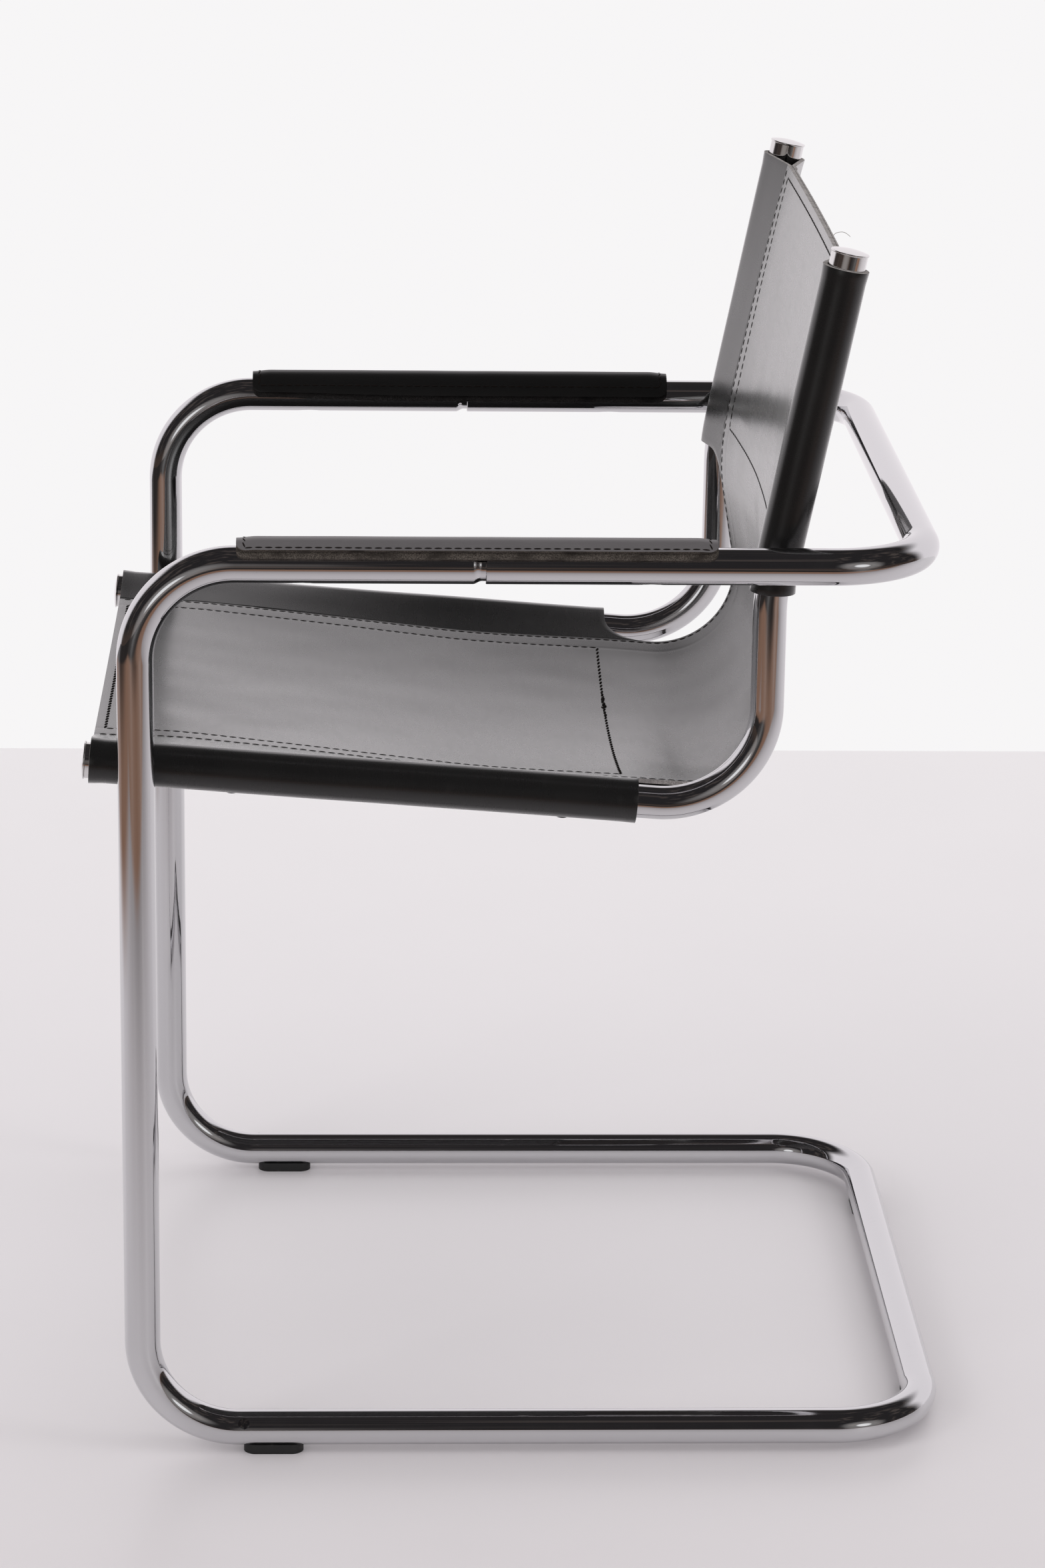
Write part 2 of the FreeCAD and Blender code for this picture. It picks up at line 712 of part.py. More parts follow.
def strip_blank(side, spare):
    """The curved steel strip's body, larger all round by the spare."""
    outer_r = pad_middle_r + spare
    inner_r = pad_middle_r - strip_thickness - spare
    half_angle = (strip_half_width + spare) / pad_middle_r
    length = pad_length - 2 * strip_end_margin + 2 * spare
    start = Vector(0, strip_end_margin - spare, 0)
    ring = cylinder(start, ALONG, outer_r, length).cut(cylinder(start, ALONG, inner_r, length))
    height = 2 * outer_r
    spread = height * math.tan(half_angle)
    wedge = Part.makePolygon([
        start,
        start + Vector(-spread, 0, height),
        start + Vector(spread, 0, height),
        start,
    ])
    strip = ring.common(Part.Face(wedge).extrude(ALONG * length))
    strip.translate(Vector(side * frame_half_width, pad_front_y, arm_axis_z))
    return strip


def strip_boss(y, side, spare):
    """The tapped boss under the strip that a pad screw bites in."""
    foot = Vector(side * frame_half_width, y, arm_axis_z + pad_middle_r - strip_boss_reach - strip_thickness)
    return cylinder(foot, UP, strip_boss_r + spare, strip_boss_reach + strip_thickness / 2)


def arm_pad_strip(side):
    """The steel strip between the plies, with two tapped bosses."""
    bosses = [strip_boss(y, side, 0) for y in (pad_screw_front_y, pad_screw_rear_y)]
    strip = fused([strip_blank(side, 0)] + bosses)
    bores = []
    for y in (pad_screw_front_y, pad_screw_rear_y):
        foot = Vector(side * frame_half_width, y, arm_axis_z)
        bores.append(cylinder(foot, UP, pad_screw_r, pad_middle_r - strip_thickness / 2))
    return strip.cut(bores)


def arm_pad_base(side):
    """The inner ply, grooved for the strip and holed for its bosses."""
    ply = draped_ply(pad_inner_r, pad_middle_r, side)
    cuts = [strip_blank(side, screw_clearance)]
    cuts += [strip_boss(y, side, screw_clearance) for y in (pad_screw_front_y, pad_screw_rear_y)]
    return ply.cut(cuts)


def arm_pad_top(side):
    """The outer ply."""
    return draped_ply(pad_middle_r + pad_seat_gap, pad_outer_r, side)


def pad_screw(y, side):
    """A dome-head screw from a dimple up into the strip's boss."""
    head_drop = sagitta(dimple_bend_r, pad_screw_head_r)
    seat = Vector(side * frame_half_width, y, arm_axis_z - frame_r + dimple_depth - head_drop)
    reach = arm_axis_z + pad_middle_r - strip_thickness - seat.z
    thread_r = pad_screw_r - insert_clearance
    outline = [(-reach, 0), (-reach, thread_r), (0, thread_r), (0, pad_screw_head_r)]
    return turned(outline, seat, -UP, pad_screw_head_height)


def sleeve_screw(y, side):
    """A dome-head screw up through the sleeve's underside into the seat tube."""
    seat = sleeve_screw_axis(y, side) - seat_normal * sleeve_outer_r
    thread_r = sleeve_screw_r - insert_clearance
    outline = [(-sleeve_screw_length, 0), (-sleeve_screw_length, thread_r), (0, thread_r),
               (0, sleeve_screw_head_r)]
    return turned(outline, seat, -seat_normal, sleeve_screw_head_height)


def glide_peg():
    """The ribbed peg on a glide. It starts inside the glide's body."""
    shoulder = frame_tube_wall + sagitta(frame_inner_r, glide_peg_r + glide_peg_rib) + glide_gap
    outline = [(-glide_thickness / 2, 0), (-glide_thickness / 2, glide_peg_r), (shoulder, glide_peg_r),
               (shoulder + glide_peg_rib, glide_peg_r + glide_peg_rib),
               (shoulder + glide_peg_length, glide_peg_r - glide_peg_rib),
               (shoulder + glide_peg_length, 0)]
    return turned(outline, Vector(0, 0, -frame_r), UP)


def glide(centre, along):
    """A moulded saddle under a tube, with a peg that snaps into it."""
    blank = Part.makeBox(glide_length, 2 * glide_half_width, glide_thickness + glide_wrap,
                         Vector(-glide_length / 2, -glide_half_width, -frame_r - glide_thickness))
    blank = blank.makeFillet(glide_corner_r, upright_edges(blank))
    run = cylinder(Vector(-glide_length, 0, 0), ACROSS, frame_r + glide_gap, 2 * glide_length)
    foot = fused([blank.cut(run), glide_peg()])
    foot.Placement = FreeCAD.Placement(centre, FreeCAD.Rotation(along, UP.cross(along), UP, "XYZ"))
    return foot


def runner_plug(side):
    """A dome-headed plug in the access hole on a runner's outer shoulder."""
    centre, outward = plug_axis(side)
    start = centre + outward * (frame_r - plug_length)
    outline = [(0, 0), (0, plug_r), (plug_length, plug_r)]
    return turned(outline, start, outward, plug_head_height)


def at_crossings(make):
    """The same fixing at all four places where a side tube passes the frame."""
    return [make(crossing, side) for crossing in (leg_crossing, arm_crossing) for side in SIDES.values()]


def save(node, solids):
    """Write one node's solids, moved to the saved frame's origin."""
    if isinstance(solids, list):
        shape = Part.makeCompound(solids)
    else:
        shape = solids
    shape = shape.copy()
    shape.translate(to_origin)
    shape.exportStep("parts/" + node + ".step")
    volume = sum(solid.Volume for solid in shape.Solids)
    print(f"{node:24s} solids {len(shape.Solids)}  volume {volume / 1000:8.2f} cm3  valid {shape.isValid()}")


os.makedirs("parts", exist_ok=True)
save("front_frame_tube", front_frame_tube())
save("rear_arm_rail", rear_arm_rail())
save("sling_leather", sling_leather())
save("seat_lining", seat_lining())
save("back_lining", back_lining())
save("frame_spacers", at_crossings(spacer))
save("frame_bolts", at_crossings(bolt))
save("frame_inserts", at_crossings(insert))
for name, side in SIDES.items():
    save("side_tube_" + name, side_tube(side))
    save("cap_seat_" + name, cap(seat_tube_end, -seat_along, side))
    save("cap_back_" + name, cap(back_tube_end, back_along, side))
    save("arm_pad_top_" + name, arm_pad_top(side))
    save("arm_pad_base_" + name, arm_pad_base(side))
    save("arm_pad_strip_" + name, arm_pad_strip(side))
for node, centre, along in glide_places():
    save(node, glide(centre, along))
save("runner_plugs", [runner_plug(side) for side in SIDES.values()])
save("pad_screws", [pad_screw(y, side) for y in (pad_screw_front_y, pad_screw_rear_y)
                    for side in SIDES.values()])
save("sleeve_screws", [sleeve_screw(y, side) for y in (sleeve_screw_front_y, sleeve_screw_rear_y)
                       for side in SIDES.values()])
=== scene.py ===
"""A cantilever lounge chair, dressed: chromed steel tube, a slung saddle-leather seat and arm pads.

Metres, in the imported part's frame. The chair faces -Y, +X is the sitter's left and +Z is up.
"""

import math
import random
from collections import namedtuple
from functools import partial

import bmesh
import bpy
from mathutils import Matrix, Vector, noise


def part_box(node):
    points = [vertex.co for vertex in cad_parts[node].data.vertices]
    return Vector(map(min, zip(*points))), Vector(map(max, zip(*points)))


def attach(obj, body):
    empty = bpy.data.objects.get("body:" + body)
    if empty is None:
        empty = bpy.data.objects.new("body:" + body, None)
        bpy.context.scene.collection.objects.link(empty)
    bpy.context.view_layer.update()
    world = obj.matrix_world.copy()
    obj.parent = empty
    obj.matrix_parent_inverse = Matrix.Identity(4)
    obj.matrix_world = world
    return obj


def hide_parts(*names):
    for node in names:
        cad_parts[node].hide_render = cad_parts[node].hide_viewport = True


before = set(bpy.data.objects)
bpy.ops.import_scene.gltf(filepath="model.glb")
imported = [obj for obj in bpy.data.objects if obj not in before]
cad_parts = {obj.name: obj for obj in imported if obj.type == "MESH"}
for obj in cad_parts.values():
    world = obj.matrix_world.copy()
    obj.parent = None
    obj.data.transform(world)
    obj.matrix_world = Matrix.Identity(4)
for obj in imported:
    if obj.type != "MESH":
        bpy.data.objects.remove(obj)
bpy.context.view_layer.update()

ACROSS = Vector((1, 0, 0))
ALONG = Vector((0, 1, 0))
UP = Vector((0, 0, 1))

# Tubes
frame_r = 0.0125
frame_bore_r = 0.0105
frame_bend_r = 0.067
side_r = 0.0115
side_bend_r = 0.069
kink_r = 0.120
tube_sides = 72
bend_steps = 36

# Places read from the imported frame
frame_low, frame_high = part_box("front_frame_tube")
rail_low, rail_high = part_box("rear_arm_rail")
side_low, side_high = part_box("side_tube_left")
leg_x = frame_high.x - frame_r
leg_y = frame_low.y + frame_r
arm_z = frame_high.z - frame_r
runner_z = frame_low.z + frame_r
crossbar_y = frame_high.y - frame_r
rail_y = rail_high.y - frame_r
side_x = (side_low.x + side_high.x) / 2

# The arm joint and the dimples under the arms
shoulder_y = leg_y + 0.225
rail_end_y = leg_y + 0.234
swage_length = 0.006
spigot_r = 0.0104
spigot_length = 0.012
dimple_places = (leg_y + 0.1116, leg_y + 0.3444)
dimple_half_length = 0.010
dimple_depth = 0.0013
screw_head_r = 0.0036
screw_head_rise = 0.0008

# The side tubes' line
seat_slope = math.radians(4.28)
back_lean = math.radians(11.07)
upright_y = leg_y + 0.4278
seat_z = 0.49365
kink_z = 0.615
back_top_z = 0.8388
seat_cap_band = 0.0032
back_cap_band = 0.0097
seat_front_y = leg_y - 0.033

# The sling
leather = 0.0032
lining = 0.0016
lining_gap = 0.0001
sleeve_r = side_r + 0.0002 + leather
panel_edge = 0.182
panel_rise = 0.0035
flap = 0.011
outer_seam = 0.179
inner_seam = 0.164
seam_inset = 0.007
groove_half = 0.0013
groove_depth = 0.00010
lining_half = 0.168
bend_corner_y = leg_y + 0.4485
sling_bend_r = 0.058
sling_kink_z = 0.612
sling_kink_r = 0.120
seat_cutout_r = 0.030
back_cutout_r = 0.024
seat_sleeve_length = 0.374
back_sleeve_length = 0.226
seat_lining_length = 0.3705
back_lining_length = 0.2055
mouth_flare = 0.0007
mouth_length = 0.010
sleeve_crown = 0.0007
cutout_span = 0.040
seat_rows = 80
bend_rows = 64
back_rows = 52
sheet_rows = seat_rows + bend_rows + back_rows

# Stitches and loose fibres
stitch_pitch = 0.0066
stitch_length = 0.0052
thread_r = 0.00056
stitch_sink = 0.00002
lining_inset = 0.0035
row_inset = 0.003
fibre_count = 150
fibre_root_r = 0.00007
fibre_tip_r = 0.00002
frayed_thread_r = 0.00020

# Arm pads
pad_length = 0.320
pad_front_y = leg_y + 0.068
pad_outer_reach = 0.0149
pad_skived_reach = 0.0020
pad_inner_reach = 0.0262
pad_front_tuck = 0.0022
pad_ply = 0.0031
pad_gap = 0.0001
pad_corner_r = 0.007
pad_thin_end = 0.0012
pad_thin_length = 0.014
pad_outer_inset = 0.0019
pad_inner_inset = 0.0078
pad_end_inset = 0.0052

# The floor, and its colours from the wall (0) to where they stop fading (1): their darkening towards
# the camera is painted shade for light falling off
wall_x = -1.44
fading_end_x = 1.40
floor_end_x = 5.0
floor_width = 12
darkest_seen = 0.67
floor_falloff_shade_stops = [(0.0, (0.91, 0.875, 0.89)), (0.25, (0.87, 0.83, 0.85)), (0.50, (0.86, 0.815, 0.84)),
               (0.66, (0.78, 0.735, 0.755)), (0.82, (0.62, 0.575, 0.59)), (1.0, (0.40, 0.365, 0.37))]

# The photograph's view
camera_place = Vector((3.17695, -0.12130, 1.39922))
camera_pitch = math.radians(17.28)
camera_yaw = math.radians(-2.30)
camera_roll = math.radians(0.85)
camera_lens = 103.90
camera_sensor = 36.0


# Shaders

class Signal:
    """One shader number. Sums and products of signals add the Math nodes that work them out."""

    def __init__(self, board, socket):
        self.board = board
        self.socket = socket

    def math(self, operation, *values):
        inputs = dict(enumerate((self,) + values))
        return self.board.number("ShaderNodeMath", {"operation": operation}, inputs)

    def __add__(self, other):
        return self.math("ADD", other)

    __radd__ = __add__

    def __sub__(self, other):
        return self.math("SUBTRACT", other)

    def __mul__(self, other):
        return self.math("MULTIPLY", other)

    def step(self, low, high):
        """A smooth step from 0 at low to 1 at high."""
        settings = {"interpolation_type": "SMOOTHSTEP"}
        inputs = {"Value": self, "From Min": low, "From Max": high}
        return self.board.number("ShaderNodeMapRange", settings, inputs)


class Board:
    """A node tree while its nodes are being laid."""

    def __init__(self, tree):
        self.tree = tree

    def node(self, kind, settings=None, inputs=None):
        """A new node: its settings first, then the values or links of its sockets."""
        made = self.tree.nodes.new(kind)
        for name, value in (settings or {}).items():
            if name == "stops":
                self.set_stops(made.color_ramp, value)
            else:
                setattr(made, name, value)
        for name, value in (inputs or {}).items():
            self.feed(made.inputs[name], value)
        return made

    def set_stops(self, ramp, stops):
        """Sets a colour ramp's stops, given as (position, colour) pairs."""
        while len(ramp.elements) < len(stops):
            ramp.elements.new(1)
        for element, (position, color) in zip(ramp.elements, stops):
            element.position = position
            element.color = (*color, 1)

    def feed(self, socket, value):
        """Links a signal or an output to a socket, or sets its value."""
        if isinstance(value, Signal):
            value = value.socket
        if isinstance(value, bpy.types.NodeSocket):
            self.tree.links.new(value, socket)
        else:
            socket.default_value = value

    def number(self, kind, settings=None, inputs=None, output=0):
        """A new node's output as a signal."""
        return Signal(self, self.node(kind, settings, inputs).outputs[output])

    def blend(self, factor, first, second):
        """A colour between two others: a Mix node's inputs 6 and 7, and its output 2."""
        inputs = {0: factor}
        for socket, color in ((6, first), (7, second)):
            inputs[socket] = (*color, 1) if isinstance(color, tuple) else color
        return self.node("ShaderNodeMix", {"data_type": "RGBA"}, inputs).outputs[2]

    def stretched(self, vector, scale):
        """A vector scaled along its axes."""
        made = self.node("ShaderNodeVectorMath", {"operation": "MULTIPLY"}, {0: vector, 1: scale})
        return made.outputs[0]

    def noise(self, vector, size, detail=2.0, roughness=0.5):
        """Soft noise from 0 to 1 whose blotches are about a size across."""
        inputs = {"Vector": vector, "Scale": 1 / size, "Detail": detail, "Roughness": roughness}
        return self.number("ShaderNodeTexNoise", None, inputs)

    def axes(self, vector):
        """A vector's three parts, as signals."""
        parts = self.node("ShaderNodeSeparateXYZ", None, {0: vector})
        return [Signal(self, part) for part in parts.outputs]

    def cells(self, vector, size, feature="F1"):
        """The distance to the nearest of scattered points about a size apart, in sizes."""
        inputs = {"Vector": vector, "Scale": 1 / size}
        return self.number("ShaderNodeTexVoronoi", {"feature": feature}, inputs)


class Finish(Board):
    """A surface finish on the Principled shader."""

    def __init__(self, name, **constants):
        self.material = bpy.data.materials.new(name)
        self.material.use_nodes = True
        super().__init__(self.material.node_tree)
        self.shader = self.tree.nodes["Principled BSDF"]
        self.give(**constants)

    def place(self):
        """The point on the surface, in the chair's frame."""
        return self.node("ShaderNodeTexCoord").outputs["Object"]

    def cut(self):
        """The point on the flat cut of the leather, in metres across and along."""
        return self.node("ShaderNodeUVMap", {"uv_map": "flat_cut"}).outputs[0]

    def give(self, **sockets):
        """Feeds the Principled shader's sockets."""
        for socket, value in sockets.items():
            self.feed(self.shader.inputs[socket.replace("_", " ")], value)

    def paint(self, shade, dark, light, roughness):
        """Colours the surface from a dark to a light as a shade rises, and gives its roughness."""
        self.give(Base_Color=self.blend(shade, dark, light), Roughness=roughness)

    def relief(self, height, distance, strength=1.0):
        """Bumps the surface by a height signal, a distance deep."""
        inputs = {"Height": height, "Distance": distance, "Strength": strength}
        bump = self.node("ShaderNodeBump", None, inputs)
        self.give(Normal=bump.outputs[0])


def chrome_finish(name, tone, mark_amount):
    """Polished chrome plate with faint haze, wiping marks and specks."""
    finish = Finish(name, Metallic=1.0)
    place = finish.place()
    haze = finish.noise(place, 0.030, 3)
    wiped = finish.noise(finish.stretched(place, (1.0, 0.12, 1.0)), 0.0025)
    specks = finish.cells(place, 0.006).step(0.10, 0.06) * finish.noise(place, 0.05).step(0.52, 0.66)
    marks = (specks + wiped.step(0.66, 0.80) * 0.5) * mark_amount
    roughness = 0.035 + haze.step(0.45, 0.75) * 0.035 + marks * 0.12
    finish.paint(marks * 0.35, tone, (0.42, 0.39, 0.37), roughness)
    return finish.material


def bare_steel_finish():
    """Dull zinc-plated steel for what hides inside the tubes."""
    finish = Finish("zinc_plate", Metallic=1.0)
    place = finish.place()
    grain = finish.noise(finish.stretched(place, (1, 8, 8)), 0.003, 3)
    finish.paint(grain, (0.34, 0.34, 0.35), (0.52, 0.52, 0.53), 0.25 + grain * 0.2)
    finish.relief(grain, 0.00003)
    return finish.material


def grain_of(finish, flat):
    """Fine pebbled grain and pores of smooth saddle leather, from 0 to 1."""
    pebbles = finish.cells(flat, 0.0011, "SMOOTH_F1").step(0.0, 0.8)
    pores = finish.noise(flat, 0.00035).step(0.60, 0.74)
    return pebbles * 0.6 - pores * 0.5


def sling_finish():
    """Black saddle leather with a dull shine."""
    finish = Finish("sling_grain", IOR=1.40, Coat_Weight=1.0, Coat_Roughness=0.25, Coat_IOR=1.27,
                    Sheen_Weight=0.22, Sheen_Roughness=0.35)
    flat = finish.cut()
    grain = grain_of(finish, flat)
    clouds = finish.noise(flat, 0.060)
    streaks = finish.noise(finish.stretched(flat, (0.25, 1.0, 1.0)), 0.006, 3)
    wear = finish.noise(flat, 0.016, 3).step(0.62, 0.80)
    creases = finish.noise(finish.stretched(flat, (0.35, 1.0, 1.0)), 0.020, 1)
    shade = clouds * 0.6 + wear * 0.4
    roughness = 0.24 + clouds * 0.06 + streaks.step(0.4, 0.8) * 0.03 + wear * 0.03
    finish.paint(shade, (0.0065, 0.0062, 0.0063), (0.0140, 0.0130, 0.0130), roughness)
    finish.relief(grain * 0.010 + clouds * 0.3 + creases * 0.20, 0.0005, 0.25)
    return finish.material


def pad_finish(name, fresh, worn):
    """The arm pads' leather, smoother and more handled."""
    finish = Finish(name, IOR=1.46)
    flat = finish.cut()
    grain = grain_of(finish, flat)
    clouds = finish.noise(finish.stretched(flat, (1.0, 0.35, 1.0)), 0.020, 4, 0.6)
    scuffs = finish.noise(finish.stretched(flat, (1.0, 0.2, 1.0)), 0.004, 3).step(0.60, 0.82)
    roughness = 0.32 + clouds * 0.08 + scuffs * 0.08
    finish.paint(clouds * 0.6 + scuffs * 0.4, fresh, worn, roughness)
    finish.relief(grain * 0.03 + clouds * 0.4, 0.0004, 0.25)
    return finish.material


def raw_edge_finish(name, dyed, shown):
    """The cut edge of the hide: dyed, its brushed fibres showing through in patches."""
    finish = Finish(name, Specular_IOR_Level=0.2)
    place = finish.place()
    fibres = finish.noise(place, 0.0007, 3, 0.7)
    patches = finish.noise(finish.stretched(place, (1.0, 0.4, 1.0)), 0.006, 3)
    bare = fibres.step(0.35, 0.68) * patches.step(0.22, 0.62)
    finish.paint(bare, dyed, shown, 0.80 + fibres * 0.15)
    finish.relief(fibres, 0.0004, 0.8)
    return finish.material


def flesh_finish():
    """The hide's inner side: dark, napped and dull."""
    finish = Finish("flesh_side")
    place = finish.place()
    nap = finish.noise(place, 0.0009, 4, 0.65)
    clouds = finish.noise(place, 0.040, 3)
    shade = nap * 0.5 + clouds * 0.5
    finish.paint(shade, (0.010, 0.009, 0.009), (0.030, 0.026, 0.024), 0.85 + nap * 0.1)
    finish.relief(nap, 0.0003, 0.6)
    return finish.material


def thread_finish():
    """Waxed black-brown thread with its twist."""
    finish = Finish("waxed_thread", Specular_IOR_Level=0.1)
    place = finish.place()
    twist = finish.noise(place, 0.0005, 1)
    finish.paint(twist, (0.004, 0.003, 0.003), (0.018, 0.013, 0.011), 0.75 + twist * 0.2)
    finish.relief(twist, 0.0001, 0.5)
    return finish.material


def fibre_finish():
    """Loose grey fibres on the raw edges."""
    finish = Finish("loose_fibre")
    shade = finish.noise(finish.place(), 0.004, 1)
    finish.paint(shade, (0.20, 0.18, 0.17), (0.50, 0.46, 0.44), 0.8 + shade * 0.1)
    return finish.material


def plastic_finish(name, dark, light, gloss):
    """Moulded plastic with a fine spark-eroded texture."""
    finish = Finish(name)
    place = finish.place()
    texture = finish.noise(place, 0.0006)
    dust = finish.noise(place, 0.010, 3).step(0.55, 0.75)
    finish.paint(dust, dark, light, gloss + texture * 0.15)
    finish.relief(texture, 0.00005, 0.6)
    return finish.material


# Lines with round turns

Span = namedtuple("Span", "start end centre axis turn length")


def rounded(corners, radii):
    """Straight runs through the corners with a round turn at each inner corner, as spans."""
    spans = []
    here = corners[0]
    for before, corner, after, radius in zip(corners, corners[1:], corners[2:], radii):
        arriving = (corner - before).normalized()
        leaving = (after - corner).normalized()
        turn = arriving.angle(leaving)
        reach = radius * math.tan(turn / 2)
        axis = arriving.cross(leaving).normalized()
        start = corner - arriving * reach
        end = corner + leaving * reach
        spans.append(Span(here, start, None, None, 0, (start - here).length))
        spans.append(Span(start, end, start + axis.cross(arriving) * radius, axis, turn, radius * turn))
        here = end
    spans.append(Span(here, corners[-1], None, None, 0, (corners[-1] - here).length))
    return spans


def place_on(spans, distance):
    """The point and the direction at a distance along the spans."""
    for span in spans:
        if distance <= span.length or span is spans[-1]:
            break
        distance -= span.length
    if span.centre is None:
        ahead = (span.end - span.start).normalized()
        return span.start + ahead * distance, ahead
    turned = Matrix.Rotation(span.turn * distance / span.length, 3, span.axis)
    arm = turned @ (span.start - span.centre)
    return span.centre + arm, span.axis.cross(arm).normalized()


def seat_point(y):
    """A point of the seat tubes' axis, on the middle plane."""
    return Vector((0, y, seat_z - (y - leg_y) * math.tan(seat_slope)))


def back_point(z):
    """A point of the back tubes' axis, drawn straight, on the middle plane."""
    return Vector((0, upright_y + (z - kink_z) * math.tan(back_lean), z))


seat_along = Vector((0, math.cos(seat_slope), -math.sin(seat_slope)))
seat_normal = Vector((0, math.sin(seat_slope), math.cos(seat_slope)))
back_along = Vector((0, math.sin(back_lean), math.cos(back_lean)))
back_normal = Vector((0, -math.cos(back_lean), math.sin(back_lean)))
seat_tube_end = seat_point(seat_front_y) - seat_along * seat_cap_band
back_tube_end = back_point(back_top_z) + back_along * back_cap_band


# Building pieces

def ease(share):
    """A smooth step from 0 to 1."""
    share = min(1.0, max(0.0, share))
    return share * share * (3 - 2 * share)


def mesh_of(name, bm):
    """The mesh of a bmesh, which is then let go."""
    mesh = bpy.data.meshes.new(name)
    bm.to_mesh(mesh)
    bm.free()
    return mesh


def in_scene(name, data):
    """A new object in the scene."""
    made = bpy.data.objects.new(name, data)
    bpy.context.scene.collection.objects.link(made)
    return made


def grid(columns, rows):
    """A flat grid, one unit wide and long about the middle."""
    bm = bmesh.new()
    bmesh.ops.create_grid(bm, x_segments=columns, y_segments=rows, size=0.5)
    return bm


def stood(place, direction):
    """The matrix that stands an upright shape at a place, along a direction."""
    return Matrix.Translation(place) @ UP.rotation_difference(direction).to_matrix().to_4x4()


def finish_piece(name, bm, materials, replaced=(), turn_out=True):
    """Makes a piece of a bmesh, gives it its materials and lets it ride on the chair."""
    if turn_out:
        bmesh.ops.recalc_face_normals(bm, faces=bm.faces)
    for face in bm.faces:
        face.smooth = True
    mesh = mesh_of(name, bm)
    for material in materials:
        mesh.materials.append(material)
    piece = in_scene(name, mesh)
    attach(piece, "root")
    if replaced:
        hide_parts(*replaced)
    return piece


def crease_sharp(bm, degrees):
    """Marks the edges where faces meet at more than an angle, so that they stay crisp."""
    limit = math.radians(degrees)
    for edge in bm.edges:
        if len(edge.link_faces) == 2 and edge.calc_face_angle(0) > limit:
            edge.smooth = False


def first_ring(bm, centre, direction, radius):
    """The open edge that a tube starts with."""
    made = bmesh.ops.create_circle(bm, segments=tube_sides, radius=radius,
                                   matrix=stood(centre, direction))
    return list({edge for vert in made["verts"] for edge in vert.link_edges})


def pulled(bm, ring, step, scale=1.0):
    """Pulls a tube's open edge along and scales the new edge about its centre."""
    grown = bmesh.ops.extrude_edge_only(bm, edges=ring)["geom"]
    verts = [part for part in grown if isinstance(part, bmesh.types.BMVert)]
    centre = sum((vert.co for vert in verts), Vector()) / len(verts)
    bmesh.ops.scale(bm, verts=verts, vec=(scale, scale, scale), space=Matrix.Translation(-centre))
    bmesh.ops.translate(bm, verts=verts, vec=step)
    kept = set(verts)
    edges = [part for part in grown if isinstance(part, bmesh.types.BMEdge)]
    return [edge for edge in edges if kept.issuperset(edge.verts)]


def turned_ring(bm, ring, span):
    """Takes a tube's open edge round a bend."""
    steps = max(4, round(bend_steps * span.turn / (math.pi / 2)))
    geometry = ring + list({vert for edge in ring for vert in edge.verts})
    last = bmesh.ops.spin(bm, geom=geometry, cent=span.centre, axis=span.axis, angle=span.turn,
                          steps=steps)["geom_last"]
    return [part for part in last if isinstance(part, bmesh.types.BMEdge)]


def tube_mesh(corners, radii, radius):
    """A round tube through the corners: its bmesh, its first open edge and its last."""
    bm = bmesh.new()
    spans = rounded(corners, radii)
    first = first_ring(bm, corners[0], (corners[1] - corners[0]).normalized(), radius)
    ring = first
    for span in spans:
        if span.centre is None:
            ring = pulled(bm, ring, span.end - span.start)
        else:
            ring = turned_ring(bm, ring, span)
    return bm, first, ring


def open_end(bm, ring):
    """The rail's cut end: a small chamfer, the wall's face and a stretch of the bore."""
    chamfer = 0.0004
    depth = 0.010
    ring = pulled(bm, ring, -ALONG * chamfer, (frame_r - chamfer) / frame_r)
    ring = pulled(bm, ring, Vector(), frame_bore_r / (frame_r - chamfer))
    pulled(bm, ring, ALONG * depth)


def closed_end(bm, ring):
    """Fills a tube's open edge."""
    bmesh.ops.contextual_create(bm, geom=ring)


def swaged_end(bm, ring):
    """The front tube's end drawn down to the spigot that enters the rear rail."""
    steps = 14
    last_r = frame_r
    for step in range(1, steps + 1):
        share = step / steps
        radius = frame_r + (spigot_r - frame_r) * ease(share)
        ring = pulled(bm, ring, ALONG * (swage_length / steps), radius / last_r)
        last_r = radius
    ring = pulled(bm, ring, ALONG * spigot_length)
    closed_end(bm, ring)


def press_dimples(bm):
    """Presses a flat into the arms' undersides where each pad screw sits."""
    bend_r = (dimple_half_length ** 2 + dimple_depth ** 2) / (2 * dimple_depth)
    half_cuts = 8
    for centre_y in dimple_places:
        for step in range(-half_cuts, half_cuts + 1):
            near = [face for face in bm.faces if face.calc_center_median().z > arm_z - 2 * frame_r]
            geometry = near + list({edge for face in near for edge in face.edges})
            geometry += list({vert for face in near for vert in face.verts})
            cut_y = centre_y + step * dimple_half_length * 1.1 / half_cuts
            bmesh.ops.bisect_plane(bm, geom=geometry, dist=1e-6, plane_co=(0, cut_y, 0), plane_no=ALONG)
        for vert in bm.verts:
            away = vert.co.y - centre_y
            if abs(away) > dimple_half_length or abs(vert.co.x) < leg_x - frame_r - 0.001:
                continue
            floor_z = arm_z - frame_r + dimple_depth - away ** 2 / (2 * bend_r)
            if arm_z - 2 * frame_r < vert.co.z < floor_z:
                vert.co.z = floor_z


def frame_tube(name, places, shape_end, chrome, replaced):
    """A bent tube through (y, z) places on the left side and back through them on the right."""
    course = [Vector((leg_x, y, z)) for y, z in places]
    course += [Vector((-leg_x, y, z)) for y, z in reversed(places)]
    bm, first, last = tube_mesh(course, [frame_bend_r] * (len(course) - 2), frame_r)
    shape_end(bm, first)
    shape_end(bm, last)
    press_dimples(bm)
    crease_sharp(bm, 40)
    finish_piece(name, bm, [chrome], [replaced])


